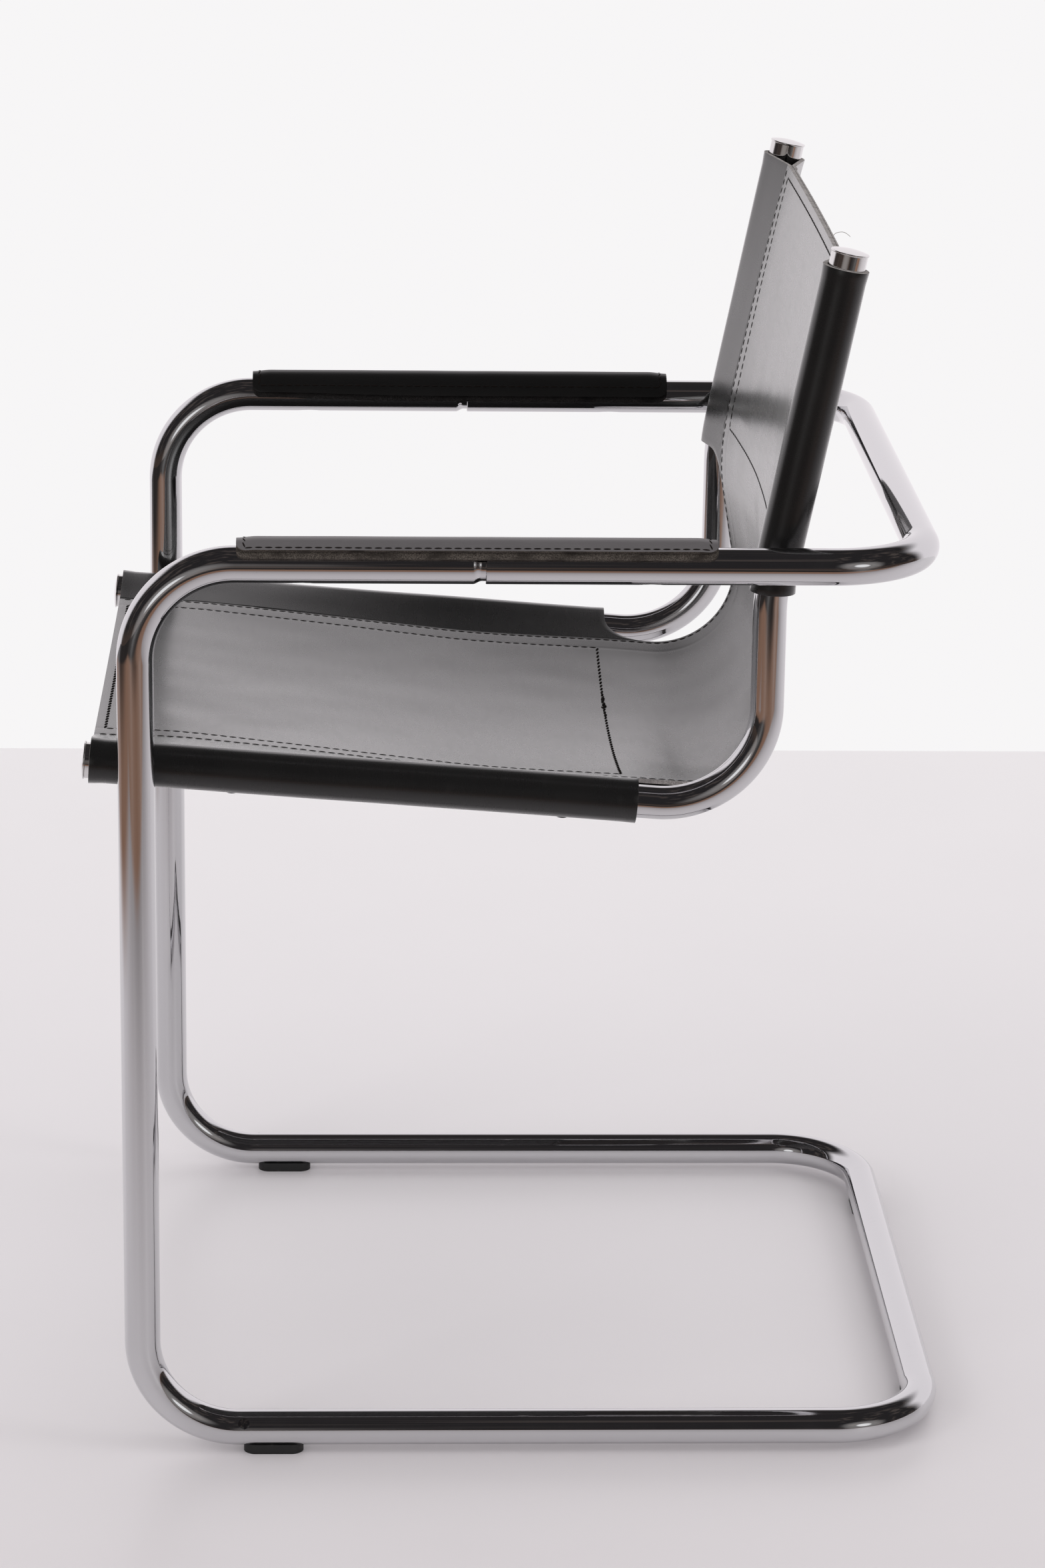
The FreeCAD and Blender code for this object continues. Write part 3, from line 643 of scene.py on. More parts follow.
def front_frame(chrome):
    """Arms, legs, runners and crossbar in one bent tube."""
    places = [(shoulder_y, arm_z), (leg_y, arm_z), (leg_y, runner_z), (crossbar_y, runner_z)]
    frame_tube("front_frame", places, swaged_end, chrome, "front_frame_tube")


def rear_rail(chrome):
    """The rail behind the back, its cut ends sleeved on the spigots."""
    places = [(rail_end_y, arm_z), (rail_y, arm_z)]
    frame_tube("rear_rail", places, open_end, chrome, "rear_arm_rail")


def pad_screw_heads(chrome):
    """The low domed screw heads on the floors of the dimples."""
    bm = bmesh.new()
    for side in (1, -1):
        for centre_y in dimple_places:
            seat = Vector((side * leg_x, centre_y, arm_z - frame_r + dimple_depth))
            dome = Matrix.Diagonal((1, 1, screw_head_rise / screw_head_r, 1))
            bmesh.ops.create_uvsphere(bm, u_segments=32, v_segments=16, radius=screw_head_r,
                                      matrix=Matrix.Translation(seat) @ dome)
    finish_piece("pad_screw_heads", bm, [chrome], ["pad_screws"])


def side_frame(name, side, chrome):
    """One side tube: seat run, rear bend, upright, kink and back run."""
    out = ACROSS * side * side_x
    course = [
        seat_tube_end + out,
        seat_point(upright_y) + out,
        back_point(kink_z) + out,
        back_tube_end + out,
    ]
    bm, first, last = tube_mesh(course, [side_bend_r, kink_r], side_r)
    closed_end(bm, first)
    closed_end(bm, last)
    crease_sharp(bm, 40)
    finish_piece("side_frame_" + name, bm, [chrome], ["side_tube_" + name])


def cap_outline():
    """A tube cap's section as (radius, height) points, from the axis inside to the crown."""
    bore_r = 0.01152
    skirt_r = 0.01242
    skirt_length = 0.011
    lip_r = 0.01302
    lip_drop = 0.0002
    plate = 0.0012
    crown = 0.0016
    soft = 0.00035
    points = [(0.0, -lip_drop), (bore_r, -lip_drop), (bore_r, -skirt_length)]
    points += [(skirt_r, -skirt_length), (skirt_r, -lip_drop)]
    points += [(lip_r - soft, 0.0), (lip_r, soft)]
    points += [(lip_r - soft * (1 - math.cos(turn)), plate - soft * (1 - math.sin(turn)))
               for turn in (0, math.pi / 6, math.pi / 3, math.pi / 2)]
    rim_r = lip_r - soft
    dome_r = (rim_r ** 2 + crown ** 2) / (2 * crown)
    for step in range(9, -1, -1):
        radius = rim_r * step / 10
        points.append((radius, plate + crown - dome_r + math.sqrt(dome_r ** 2 - radius ** 2)))
    return points


def tube_cap(name, place, direction, chrome, replaced):
    """One cap, turned about the tube's axis."""
    bm = bmesh.new()
    verts = [bm.verts.new((radius, 0, height)) for radius, height in cap_outline()]
    edges = [bm.edges.new(pair) for pair in zip(verts, verts[1:])]
    bmesh.ops.spin(bm, geom=verts + edges, cent=(0, 0, 0), axis=UP, angle=2 * math.pi, steps=64,
                   use_merge=True)
    bmesh.ops.remove_doubles(bm, verts=bm.verts, dist=1e-6)
    bmesh.ops.transform(bm, matrix=stood(place, direction), verts=bm.verts)
    crease_sharp(bm, 50)
    finish_piece(name, bm, [chrome], [replaced])


def tube_caps(chrome):
    """The four caps on the side tubes' ends."""
    ends = (("seat", seat_tube_end, -seat_along), ("back", back_tube_end, back_along))
    for name, side in (("left", 1), ("right", -1)):
        out = ACROSS * side * side_x
        for end, place, direction in ends:
            tube_cap(end + "_cap_" + name, place + out, direction, chrome, "cap_" + end + "_" + name)


# The sling's shape

def straight_between(stations, at):
    """The value on a line drawn straight from each (place, value) station to the next."""
    if at <= stations[0][0]:
        return stations[0][1]
    for (low, before), (high, after) in zip(stations, stations[1:]):
        if at <= high:
            return before + (after - before) * (at - low) / (high - low)
    return stations[-1][1]


def smooth_between(stations, at):
    """The same line with its corners softened."""
    return sum(straight_between(stations, at + shift) for shift in softening) / len(softening)


sling_start = seat_point(seat_front_y) + seat_normal * panel_rise
sling_spans = rounded([
    sling_start,
    sling_start + seat_along * ((bend_corner_y - seat_front_y) / seat_along.y),
    back_point(sling_kink_z) + back_normal * panel_rise,
    back_point(back_top_z) + back_normal * panel_rise,
], [sling_bend_r, sling_kink_r])
sling_length = sum(span.length for span in sling_spans)
seat_run = sling_spans[0].length
bend_end = seat_run + sling_spans[1].length
kink_start = bend_end + sling_spans[2].length
back_start = kink_start + sling_spans[3].length

# Sag at the middle of the sheet, and the height of its seams over the tubes' axis
sag_stations = [(0.0, 0.001), (0.12, 0.0085), (seat_run * 0.92, 0.0165), (bend_end, 0.016),
                (back_start, 0.011), (sling_length - 0.05, 0.0035), (sling_length, 0.001)]
rise_stations = [(0.0, 0.0052), (0.055, 0.0080), (0.119, 0.0064), (0.211, 0.0027), (0.262, 0.0008),
                 (0.304, 0.0012), (0.374, 0.0034), (seat_run + 0.02, 0.0035), (back_start, 0.0035),
                 (sling_length - 0.205, 0.0058), (sling_length - 0.088, 0.0047),
                 (sling_length - 0.027, 0.0031), (sling_length, 0.0016)]
softening = [step * 0.008 for step in range(-2, 3)]


def sheet_frame(along):
    """The tubes' axis, as the sheet follows it, and the direction towards the sitter."""
    point, ahead = place_on(sling_spans, along)
    normal = ACROSS.cross(ahead)
    return point - normal * panel_rise, normal


def waves(across, along, seed, height):
    """Soft unevenness of about a height. Its places are counted in waves."""
    return noise.noise(Vector((across, along, seed))) * height


def panel_height(across, along):
    """The sheet's height over the tubes' axis."""
    sag = smooth_between(sag_stations, along) * (1 - (across / panel_edge) ** 2)
    soft = waves(across * 11, along * 9, 3.7, 0.0009) + waves(across * 30, along * 22, 9.1, 0.00025)
    calm = 0.05
    quiet = ease((panel_edge - abs(across)) / calm) * ease(along / calm)
    quiet *= ease((sling_length - along) / calm)
    seams = sum(math.exp(-((abs(across) - seam) / groove_half) ** 2)
                for seam in (outer_seam, inner_seam))
    return smooth_between(rise_stations, along) - sag + soft * quiet - seams * groove_depth


def panel_point(across, along, depth=0.0):
    """A point of the panel, or a depth under it."""
    axis, normal = sheet_frame(along)
    return axis + ACROSS * across + normal * (panel_height(across, along) - depth)


def touch_angle(inward, height, radius):
    """The angle at which a line from (inward, height) touches a circle round the tube's axis."""
    return math.atan2(height, inward), math.acos(radius / math.hypot(inward, height))


def sleeve_line(position, rise, radius, edge_drop):
    """The sheet round a tube, as (inward distance, height, flat distance from the panel's edge).

    Positions run 1 to 2 from the panel's edge to the tube, 2 to 3 round it, 3 to 4 back under to
    the panel's edge, and 4 to 5 inwards as the sewn flap.
    """
    inward = side_x - panel_edge
    low = rise - 2 * leather
    aim, spread = touch_angle(inward, rise, radius)
    over = aim + spread
    aim, spread = touch_angle(inward, low, radius)
    under = 2 * math.pi + aim - spread
    first = math.sqrt(inward ** 2 + rise ** 2 - radius ** 2)
    last = math.sqrt(inward ** 2 + low ** 2 - radius ** 2)
    round_length = radius * (under - over)
    if position <= 2:
        share = position - 1
        here = Vector((inward, rise)).lerp(Vector((math.cos(over), math.sin(over))) * radius, share)
        return here.x, here.y, first * share
    if position <= 3:
        share = position - 2
        angle = over + (under - over) * share
        return radius * math.cos(angle), radius * math.sin(angle), first + round_length * share
    if position <= 4:
        share = position - 3
        here = (Vector((math.cos(under), math.sin(under))) * radius).lerp(Vector((inward, low)), share)
        return here.x, here.y, first + round_length + last * share
    share = position - 4
    return inward + flap * share, low - edge_drop * share, first + round_length + last + flap * share


def sleeve_radius(along):
    """The sleeve's outer radius: it opens out at its mouths."""
    ends = (0.0, seat_sleeve_length, sling_length - back_sleeve_length, sling_length)
    amounts = (1.0, 0.35, 0.35, 0.8)
    opened = max(amount * (1 - ease(abs(along - end) / mouth_length))
                 for end, amount in zip(ends, amounts))
    return sleeve_r + mouth_flare * opened


def sleeve_point(position, along):
    """A point of the sheet beyond the panel's edge, and its distance across the flat cut."""
    side = 1 if position > 0 else -1
    axis, normal = sheet_frame(along)
    rise = panel_height(panel_edge, along)
    edge_drop = panel_height(panel_edge, along) - panel_height(panel_edge - flap, along)
    inward, height, flat = sleeve_line(abs(position), rise, sleeve_radius(along), edge_drop)
    dents = waves(position * 1.7, along * 14, 5.2, 0.00035)
    dents *= 1 - ease(abs(abs(position) - 2.5) - 0.5) if abs(position) < 3.5 else 0
    out = Vector((inward, height)).normalized() * (dents + sleeve_crown * ease(height / sleeve_r))
    point = axis + ACROSS * side * (side_x - inward - out.x) + normal * (height + out.y)
    return point, side * (panel_edge + flat)


def corner_fall(past, radius):
    """How far a rounded corner falls back at a distance past the start of its arc."""
    past = max(0.0, past)
    return radius - math.sqrt(max(0.0, radius ** 2 - past ** 2))


def cutout_extra(position, radius):
    """How far past its sleeve a column at a position goes, to end on the rounded cut-out."""
    from_panel = cutout_span * min(position - 1, 4 - position)
    return corner_fall(radius - from_panel, radius)


def column_positions():
    """The sheet's columns, from one flap's edge to the other's. They are closest at the seams."""
    inner_columns = 28
    inner_share = 0.86
    half = [step / inner_columns * inner_share for step in range(1, inner_columns + 1)]
    seam_columns = (0.1605, 0.1625, inner_seam, 0.1655, 0.168, 0.1715, 0.175, 0.1775, outer_seam,
                    0.1805, panel_edge)
    half += [place / panel_edge for place in seam_columns]
    rounding = [seat_cutout_r * (1 - math.cos(step * math.pi / 20)) / cutout_span
                for step in range(1, 11)]
    half += [1 + share for share in rounding]
    half += [1.87, 2.0]
    half += [2 + step / 40 for step in range(1, 41)]
    half += [4 - share for share in reversed(rounding)]
    half += [4.0, 4.25, 4.6, 5.0]
    return [-position for position in reversed(half)] + [0.0] + half


def row_place(row, position):
    """The distance along the sheet at which the column at a position has a row."""
    if row <= seat_rows:
        reach = seat_sleeve_length + cutout_extra(position, seat_cutout_r)
        return reach * (row / seat_rows)
    if row >= sheet_rows - back_rows:
        reach = back_sleeve_length + cutout_extra(position, back_cutout_r)
        return sling_length - reach * ((sheet_rows - row) / back_rows)
    first = seat_sleeve_length + seat_cutout_r
    last = sling_length - back_sleeve_length - back_cutout_r
    return first + (last - first) * ((row - seat_rows) / bend_rows)


def sling_mesh():
    """The whole sheet as one grid, bent from its flat cut, with the cut-outs taken away."""
    columns = column_positions()
    bm = grid(len(columns) - 1, sheet_rows)
    flat_places = {}
    waste = []
    for vert in bm.verts:
        position = columns[round((vert.co.x + 0.5) * (len(columns) - 1))]
        row = round((vert.co.y + 0.5) * sheet_rows)
        along = row_place(row, abs(position))
        if abs(position) <= 1:
            across = position * panel_edge
            vert.co = panel_point(across, along)
        else:
            vert.co, across = sleeve_point(position, along)
            if seat_rows < row < sheet_rows - back_rows:
                waste.append(vert)
        flat_places[vert] = (across, along)
    keep_flat_cut(bm, flat_places)
    bmesh.ops.delete(bm, geom=waste, context="VERTS")
    return bm


def keep_flat_cut(bm, flat_places):
    """Writes the place on the flat cut into the leather's own UV map."""
    layer = bm.loops.layers.uv.new("flat_cut")
    for face in bm.faces:
        for loop in face.loops:
            loop[layer].uv = flat_places[loop.vert]


def flat_area(bm):
    """The area of the flat cut."""
    layer = bm.loops.layers.uv["flat_cut"]
    total = 0.0
    for face in bm.faces:
        places = [loop[layer].uv for loop in face.loops]
        following = places[1:] + places[:1]
        turns = (here.x * there.y - there.x * here.y for here, there in zip(places, following))
        total += abs(sum(turns)) / 2
    return total


def thicken(piece, thickness, offset):
    """Gives a sheet its thickness, with the flesh side within and raw edges, then softens them."""
    wall = piece.modifiers.new("wall", "SOLIDIFY")
    wall.thickness = thickness
    wall.offset = offset
    wall.material_offset = 1
    wall.material_offset_rim = 2
    wall.use_even_offset = False
    soften = piece.modifiers.new("soften", "BEVEL")
    soften.width = 0.0004
    soften.segments = 2
    soften.limit_method = "ANGLE"
    soften.angle_limit = math.radians(60)


def sling(materials):
    """The one-piece sheet of saddle leather."""
    bm = sling_mesh()
    area = flat_area(bm)
    last_column = column_positions()[-1]
    half_width = sleeve_point(last_column, seat_sleeve_length / 2)[1]
    piece = finish_piece("sling", bm, materials, ["sling_leather"], turn_out=False)
    thicken(piece, leather - 0.0001, -1)
    2 * half_width


def lining_sheet(name, start, end, materials, replaced):
    """A thin lining under the panel between two places along it."""
    depth = leather + lining_gap
    bm = grid(48, 40)
    flat_places = {}
    for vert in bm.verts:
        across = vert.co.x * 2 * lining_half
        along = start + (vert.co.y + 0.5) * (end - start)
        flat_places[vert] = (across, along)
        vert.co = panel_point(across, along, depth)
    keep_flat_cut(bm, flat_places)
    bmesh.ops.reverse_faces(bm, faces=bm.faces)
    piece = finish_piece(name, bm, materials, replaced, turn_out=False)
    thicken(piece, lining, 1)


# Stitches

def stitch_shape():
    """One small stitch lying along Y, to be set many times."""
    bm = bmesh.new()
    bmesh.ops.create_uvsphere(bm, u_segments=8, v_segments=6, radius=1)
    bmesh.ops.rotate(bm, verts=bm.verts, matrix=Matrix.Rotation(math.pi / 2, 3, "X"))
    bmesh.ops.scale(bm, verts=bm.verts, vec=(thread_r, stitch_length / 2, thread_r * 0.9))
    return mesh_of("stitch_shape", bm)


def set_copy(bm, shape, matrix):
    """Adds one copy of a small shape to a piece."""
    kept = len(bm.verts)
    bm.from_mesh(shape)
    bm.verts.ensure_lookup_table()
    for vert in bm.verts[kept:]:
        vert.co = matrix @ vert.co


def add_stitch(bm, here, there, outward, thickness=1.0, slant=0.0):
    """One stitch: a thread loop that dips into the leather at both ends."""
    ahead = (there - here).normalized()
    aside = outward.cross(ahead).normalized()
    turned = Matrix((aside, ahead, aside.cross(ahead))).transposed()
    turned = (turned @ Matrix.Rotation(slant, 3, "Z")).to_4x4()
    size = Matrix.Diagonal((thickness, 1, thickness, 1))
    set_copy(bm, stitch_unit, Matrix.Translation((here + there) / 2) @ turned @ size)


def stitch_row(bm, surface, start, end, thickness=1.0, slant=0.0):
    """Evenly pitched stitches between two places on a flat cut. The surface gives their points."""
    start, end = Vector(start), Vector(end)
    count = round((end - start).length / stitch_pitch)
    step = (end - start) / count
    probe = 0.0005
    aside = Vector((-step.y, step.x)).normalized() * probe
    inset = step * (1 - stitch_length / stitch_pitch) / 2
    for number in range(count):
        here = start + step * number + inset
        there = here + step - 2 * inset
        first = surface(*here)
        last = surface(*there)
        outward = (last - first).cross(surface(*(here + aside)) - first).normalized()
        add_stitch(bm, first, last, outward, thickness, slant)


def add_mend(bm, along):
    """The lumpy hand mend in the middle of the seat's rear seam."""
    mend_start = -0.020
    mend_step = 0.0036
    chance = random.Random(5)
    for number in range(16):
        across = mend_start - number * mend_step
        here = panel_point(across, along + chance.uniform(-0.0006, 0.0006), -0.0002)
        there = here + Vector((-0.0042, chance.uniform(-0.0009, 0.0009),
                               chance.uniform(-0.0002, 0.0003)))
        lump = 1.8 if -0.060 < across < -0.040 else 1.1
        add_stitch(bm, here, there, UP, lump * chance.uniform(0.8, 1.2), chance.uniform(-0.4, 0.4))


def sling_stitches(thread):
    """The seams that close the sleeves and hold the linings, on the sheet's face and behind it."""
    top = sling_length - seam_inset
    seat_seam = seat_lining_length - lining_inset
    back_seam = sling_length - back_lining_length + lining_inset
    cross_rows = ((seam_inset, 1.5, 0.35), (seat_seam, 1.6, 0.30), (back_seam, 1.0, 0.16),
                  (top, 1.0, 0.16))
    bm = bmesh.new()
    behind_lining = leather + lining_gap + lining
    for depth in (stitch_sink, behind_lining - stitch_sink):
        surface = partial(panel_point, depth=depth)
        for side in (1, -1):
            inner = side * inner_seam
            stitch_row(bm, surface, (inner, seam_inset), (inner, seat_seam))
            stitch_row(bm, surface, (inner, back_seam), (inner, top))
        for along, thickness, slant in cross_rows:
            stitch_row(bm, surface, (-inner_seam, along), (inner_seam, along), thickness, slant)
    add_mend(bm, seat_seam)
    flap_ends = ((row_inset, seat_sleeve_length),
                 (sling_length - back_sleeve_length, sling_length - row_inset))
    face = partial(panel_point, depth=stitch_sink)
    under_flap = partial(panel_point, depth=2 * leather - stitch_sink)
    for side in (1, -1):
        outer = side * outer_seam
        stitch_row(bm, face, (outer, row_inset), (outer, sling_length - row_inset))
        for start, end in flap_ends:
            stitch_row(bm, under_flap, (outer, start), (outer, end))
    finish_piece("sling_stitches", bm, [thread])


# Arm pads

def pad_point(across, along, radius, side):
    """A point of a ply: across and along its flat cut, bent over the arm at a radius."""
    end = min(along, pad_length - along)
    thin = pad_thin_end * (1 - ease(end / pad_thin_length)) * ease((radius - frame_r) / (2 * pad_ply))
    settled = waves(across * 40, along * 22, side * 2.0, 0.00015)
    angle = across / radius
    reach = radius - thin + settled
    return Vector((side * leg_x - side * reach * math.sin(angle), pad_front_y + along,
                   arm_z + reach * math.cos(angle)))


def pad_reach(share, along, skived):
    """How far across a ply reaches: more on the sitter's side, a little less at the front there."""
    if share < 0:
        return pad_outer_reach + skived
    return pad_inner_reach - pad_front_tuck * (1 - ease(along / (pad_length * 0.4)))


def pad_ply_mesh(radius, side, skived):
    """One ply of a pad, bent from its flat cut with rounded corners."""
    bm = grid(36, 160)
    flat_places = {}
    for vert in bm.verts:
        share = math.sin(vert.co.x * math.pi)
        reach = pad_reach(share, pad_length * (vert.co.y + 0.5), skived)
        across = reach * share
        trim = corner_fall(abs(across) - (reach - pad_corner_r), pad_corner_r)
        along = pad_length / 2 + vert.co.y * 2 * (pad_length / 2 - trim)
        flat_places[vert] = (across, along)
        vert.co = pad_point(across, along, radius, side)
    keep_flat_cut(bm, flat_places)
    bmesh.ops.recalc_face_normals(bm, faces=bm.faces)
    if sum(face.normal.z for face in bm.faces) < 0:
        bmesh.ops.reverse_faces(bm, faces=bm.faces)
    return bm


def pad_stitches(side, radius, thread, name):
    """The stitching round a pad's upper ply, wider from the edge on the sitter's side."""
    outer = -pad_outer_reach + pad_outer_inset
    inner = pad_inner_reach - pad_inner_inset
    end = pad_end_inset
    far_end = pad_length - end
    bm = bmesh.new()
    surface = partial(pad_point, radius=radius - stitch_sink, side=side)
    for across in (outer, inner):
        stitch_row(bm, surface, (across, end), (across, far_end))
    for along in (end, far_end):
        stitch_row(bm, surface, (outer, along), (inner, along), 1.1, 0.30)
    finish_piece("pad_stitches_" + name, bm, [thread])


def arm_pad(name, side, materials, thread):
    """Two plies of leather over one arm, sewn round their edges."""
    base_r = frame_r + pad_gap + pad_ply
    top_r = base_r + pad_gap + pad_ply
    flesh_side, cut_edge = materials[1:]
    base_materials = [cut_edge, flesh_side, cut_edge]
    plies = (("base", base_r, pad_skived_reach, base_materials, ["front_frame", "rear_rail"]),
             ("top", top_r, 0.0, materials, ["pad_base_" + name]))
    for part, radius, skived, ply_materials, rests_on in plies:
        bm = pad_ply_mesh(radius, side, skived)
        piece = finish_piece("pad_" + part + "_" + name, bm, ply_materials,
                             ["arm_pad_" + part + "_" + name], turn_out=False)
        thicken(piece, pad_ply, -1)
        pad_outer_reach + skived + pad_inner_reach
    pad_stitches(side, top_r, thread, name)


# Loose fibres

def edge_fibres(fibre):
    """Short loose fibres along the back's top edge."""
    chance = random.Random(11)
    bm = bmesh.new()
    for _ in range(fibre_count):
        across = chance.uniform(-0.150, 0.168)
        depth = chance.uniform(0.0005, leather + lining)
        root = panel_point(across, sling_length, depth)
        lean = Vector((chance.uniform(-1, 1), chance.uniform(-0.8, 0.8), chance.uniform(0.2, 1.0)))
        lean.normalize()
        length = chance.uniform(0.0004, 0.0014)
        bmesh.ops.create_cone(bm, segments=3, radius1=fibre_root_r, radius2=fibre_tip_r, depth=length,
                              matrix=stood(root + lean * length / 2, lean))
    finish_piece("edge_fibres", bm, [fibre])


def thread_end(fibre):
    """The frayed thread that stands up near the left top corner."""
    start = panel_point(0.118, sling_length, 0.002)
    steps = [(0.0, 0.0, 0.0), (0.002, 0.001, 0.0035), (0.001, 0.005, 0.0048), (-0.001, 0.0095, 0.0042),
             (0.001, 0.0125, 0.0015)]
    curve = bpy.data.curves.new("thread_end", "CURVE")
    curve.dimensions = "3D"
    curve.bevel_depth = frayed_thread_r
    curve.bevel_resolution = 1
    spline = curve.splines.new("NURBS")
    spline.points.add(len(steps) - 1)
    for point, step in zip(spline.points, steps):
        point.co = (*(start + Vector(step)), 1)
    spline.order_u = 3
    spline.use_endpoint_u = True
    drawn = in_scene("thread_end_curve", curve)
    depsgraph = bpy.context.evaluated_depsgraph_get()
    mesh = bpy.data.meshes.new_from_object(drawn.evaluated_get(depsgraph))
    bpy.data.objects.remove(drawn)
    bm = bmesh.new()
    bm.from_mesh(mesh)
    finish_piece("thread_end", bm, [fibre])


# Studio

def studio_floor():
    """A pale painted floor that ends at the wall.

    Its colour darkens towards the camera as painted shade for light falling off, and reflections alone
    show the darkest near end. Beyond it they show a brown floor, then painted shade for the dim room.
    """
    bm = grid(1, 1)
    for vert in bm.verts:
        vert.co.x = wall_x if vert.co.x < 0 else floor_end_x
        vert.co.y *= floor_width
    floor = in_scene("floor", mesh_of("floor", bm))
    finish = Finish("painted_floor")
    place = finish.place()
    ahead, right, _ = finish.axes(place)
    left = right * -1
    scuffs = finish.noise(place, 0.25, 5, 0.6)
    fading = {"Value": ahead + scuffs * 0.06, "From Min": wall_x, "From Max": fading_end_x}
    nearer = finish.number("ShaderNodeMapRange", None, fading)
    mirrored = finish.number("ShaderNodeLightPath", output="Is Glossy Ray")
    shade = nearer.math("MINIMUM", mirrored + darkest_seen)
    # The ramp paints shade that darkens the floor towards the camera, standing in for light falling
    # off.
    painted = finish.node("ShaderNodeValToRGB", {"stops": floor_falloff_shade_stops}, {0: shade}).outputs[0]
    # This mask marks no wear: past the pale floor, reflections show a brown floor and then painted
    # shade for the dim room.
    worn = ahead.step(1.35, 1.60).math("MAXIMUM", left.step(1.15, 1.70))
    unlit = ahead.step(2.05, 2.50).math("MAXIMUM", left.step(1.80, 2.60))
    room = finish.blend(unlit, (0.32, 0.18, 0.12), (0.03, 0.024, 0.022))
    finish.paint(worn * mirrored, painted, room, 0.30 + scuffs * 0.12)
    floor.data.materials.append(finish.material)


def studio_world():
    """Even soft light, with a white wall behind the chair and a dim room round the camera.

    The wall, the room and its two windows show in reflections alone.
    """
    world = bpy.data.worlds.new("studio")
    bpy.context.scene.world = world
    world.use_nodes = True
    board = Board(world.node_tree)
    direction = board.node("ShaderNodeTexCoord").outputs["Generated"]
    ahead, _, height = board.axes(direction)
    wall = ahead.step(-0.10, -0.40) * height.step(0.72, 0.50)
    room = board.blend(height.step(-0.05, 0.10), (0.060, 0.043, 0.036), (0.024, 0.022, 0.023))
    mottled = board.noise(direction, 0.16)
    room = board.blend(mottled.step(0.50, 0.70) * 0.6, room, (0.12, 0.098, 0.088))
    for window in (Vector((0.80, 0.55, 0.26)), Vector((0.86, -0.36, 0.10))):
        towards = {0: direction, 1: window.normalized()}
        facing = board.number("ShaderNodeVectorMath", {"operation": "DOT_PRODUCT"}, towards, 1)
        room = board.blend(facing.step(0.90, 0.985) * 0.30, room, (0.80, 0.76, 0.74))
        room = board.blend(facing.step(0.988, 0.995), room, (1.0, 1.0, 1.0))
    reflected = board.blend(wall, room, (0.94, 0.895, 0.92))
    seen = board.number("ShaderNodeLightPath", output="Is Camera Ray")
    mirrored = board.number("ShaderNodeLightPath", output="Is Glossy Ray")
    light = board.blend(mirrored, (0.86, 0.86, 0.86), reflected)
    light = board.blend(seen, light, (0.93, 0.92, 0.925))
    board.feed(world.node_tree.nodes["Background"].inputs["Color"], light)


def softbox(name, place, aim, size, power):
    """A square lamp turned to what it lights. Reflections don't show it."""
    light = bpy.data.lights.new(name, "AREA")
    light.size = size
    light.energy = power
    lamp = in_scene(name, light)
    lamp.location = place
    lamp.visible_glossy = False
    lamp.rotation_mode = "QUATERNION"
    lamp.rotation_quaternion = (Vector(aim) - Vector(place)).to_track_quat("-Z", "Y")


def photograph_camera():
    """The camera where the photograph was taken from."""
    data = bpy.data.cameras.new("photograph")
    data.lens = camera_lens
    data.sensor_fit = "VERTICAL"
    data.sensor_height = camera_sensor
    camera = in_scene("photograph", data)
    headed = Matrix.Rotation(math.pi / 2 + camera_yaw, 4, "Z")
    tipped = Matrix.Rotation(math.pi / 2 - camera_pitch, 4, "X")
    rolled = Matrix.Rotation(camera_roll, 4, "Z")
    camera.matrix_world = Matrix.Translation(camera_place) @ headed @ tipped @ rolled
    bpy.context.scene.camera = camera


def dress(names, material):
    """Gives CAD nodes that are right as they are their finish."""
    for name in names:
        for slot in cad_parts[name].material_slots:
            slot.material = material


# The chair

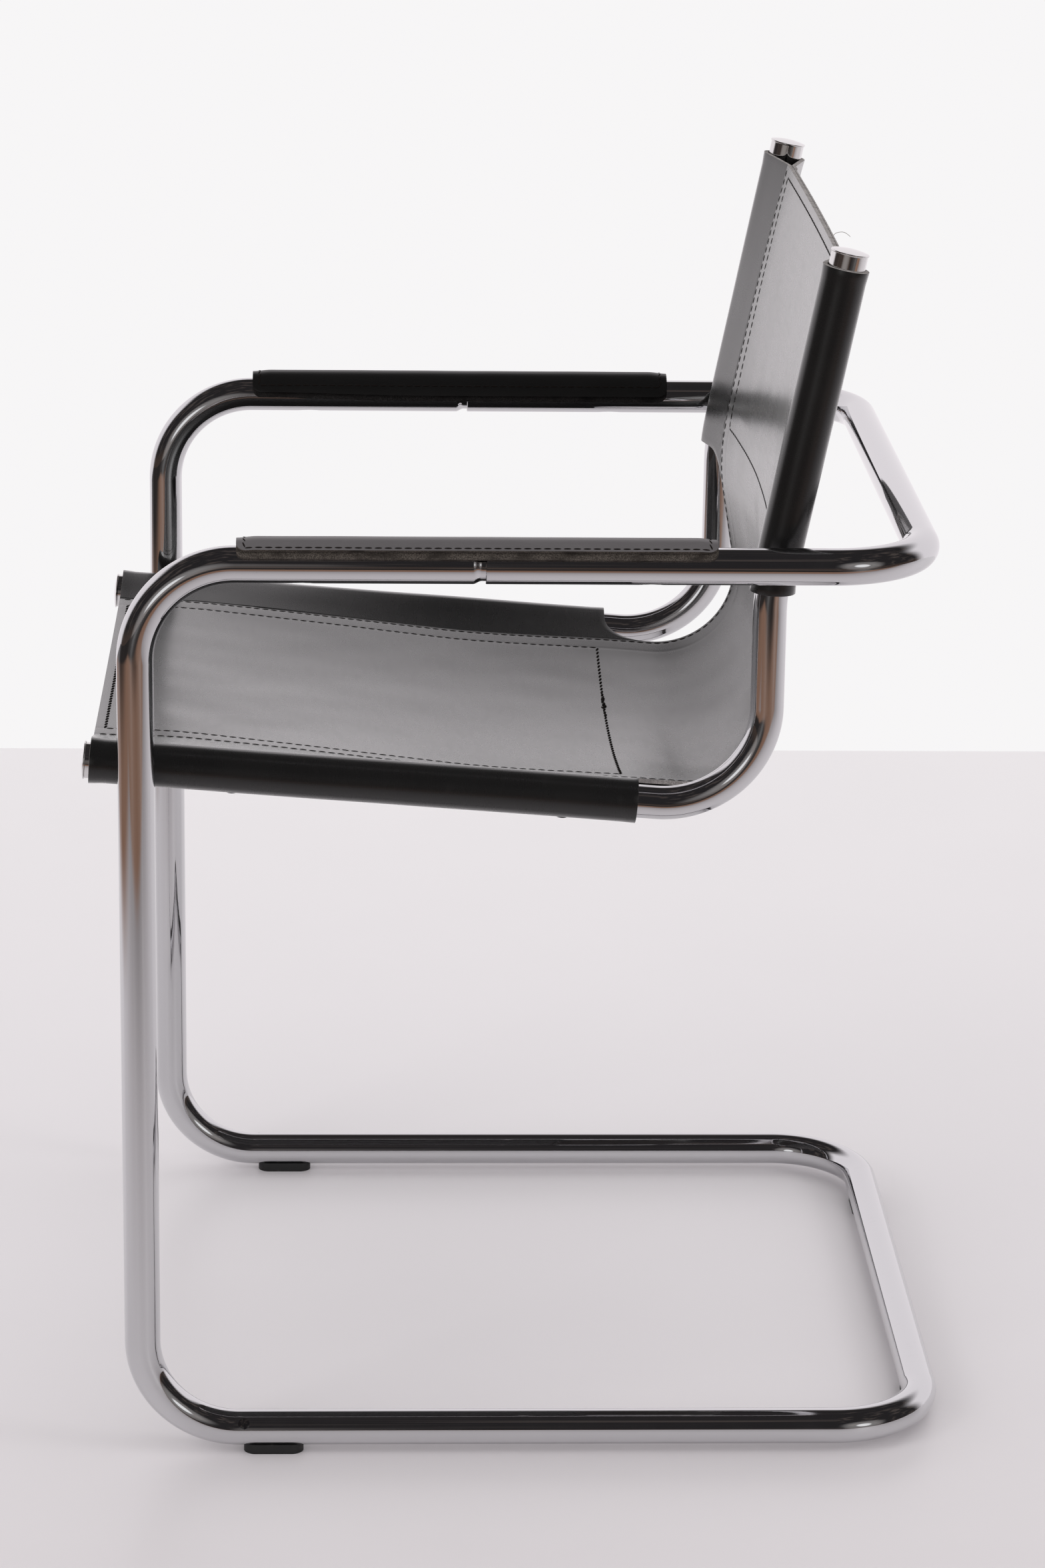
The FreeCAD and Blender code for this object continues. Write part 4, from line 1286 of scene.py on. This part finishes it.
tube_chrome = chrome_finish("tube_chrome", (0.665, 0.665, 0.68), 0.5)
cap_chrome = chrome_finish("cap_chrome", (0.76, 0.755, 0.755), 0.3)
zinc = bare_steel_finish()
pale_edge = raw_edge_finish("pale_raw_edge", (0.21, 0.195, 0.19), (0.52, 0.48, 0.47))
brown_edge = raw_edge_finish("brown_raw_edge", (0.026, 0.021, 0.018), (0.135, 0.115, 0.100))
dark_edge = raw_edge_finish("dark_raw_edge", (0.008, 0.007, 0.007), (0.035, 0.032, 0.031))
flesh = flesh_finish()
sling_leathers = [sling_finish(), flesh, pale_edge]
black_pad = pad_finish("black_pad_grain", (0.0045, 0.0042, 0.0042), (0.0110, 0.0100, 0.0100))
faded_pad = pad_finish("faded_pad_grain", (0.105, 0.097, 0.100), (0.155, 0.143, 0.147))
pad_leathers = {"left": [faded_pad, flesh, brown_edge], "right": [black_pad, flesh, dark_edge]}
thread = thread_finish()
fibre = fibre_finish()
stitch_unit = stitch_shape()

front_frame(tube_chrome)
rear_rail(tube_chrome)
pad_screw_heads(cap_chrome)
for side_name, side_sign in (("left", 1), ("right", -1)):
    side_frame(side_name, side_sign, tube_chrome)
    arm_pad(side_name, side_sign, pad_leathers[side_name], thread)
tube_caps(cap_chrome)
sling(sling_leathers)
lining_sheet("lining_under_seat", 0.0, seat_lining_length, sling_leathers, ["seat_lining"])
lining_sheet("lining_behind_back", sling_length - back_lining_length, sling_length, sling_leathers,
             ["back_lining"])
sling_stitches(thread)
edge_fibres(fibre)
thread_end(fibre)

dress(["frame_spacers"], tube_chrome)
dress(["sleeve_screws"], cap_chrome)
dress(["frame_bolts", "frame_inserts", "arm_pad_strip_left", "arm_pad_strip_right"], zinc)
dress(["glide_front_left", "glide_front_right", "glide_rear_left", "glide_rear_right"],
      plastic_finish("glide_plastic", (0.010, 0.010, 0.010), (0.035, 0.032, 0.030), 0.45))
dress(["runner_plugs"], chrome_finish("plug_chrome", (0.40, 0.40, 0.41), 0.8))

studio_floor()
studio_world()
chair_middle = (0, 0, 0.4)
softbox("key_light", (1.6, -2.6, 2.4), chair_middle, 1.2, 14)
softbox("right_light", (1.2, 2.8, 2.2), chair_middle, 1.0, 10)
photograph_camera()
bpy.context.scene.view_settings.view_transform = "Standard"
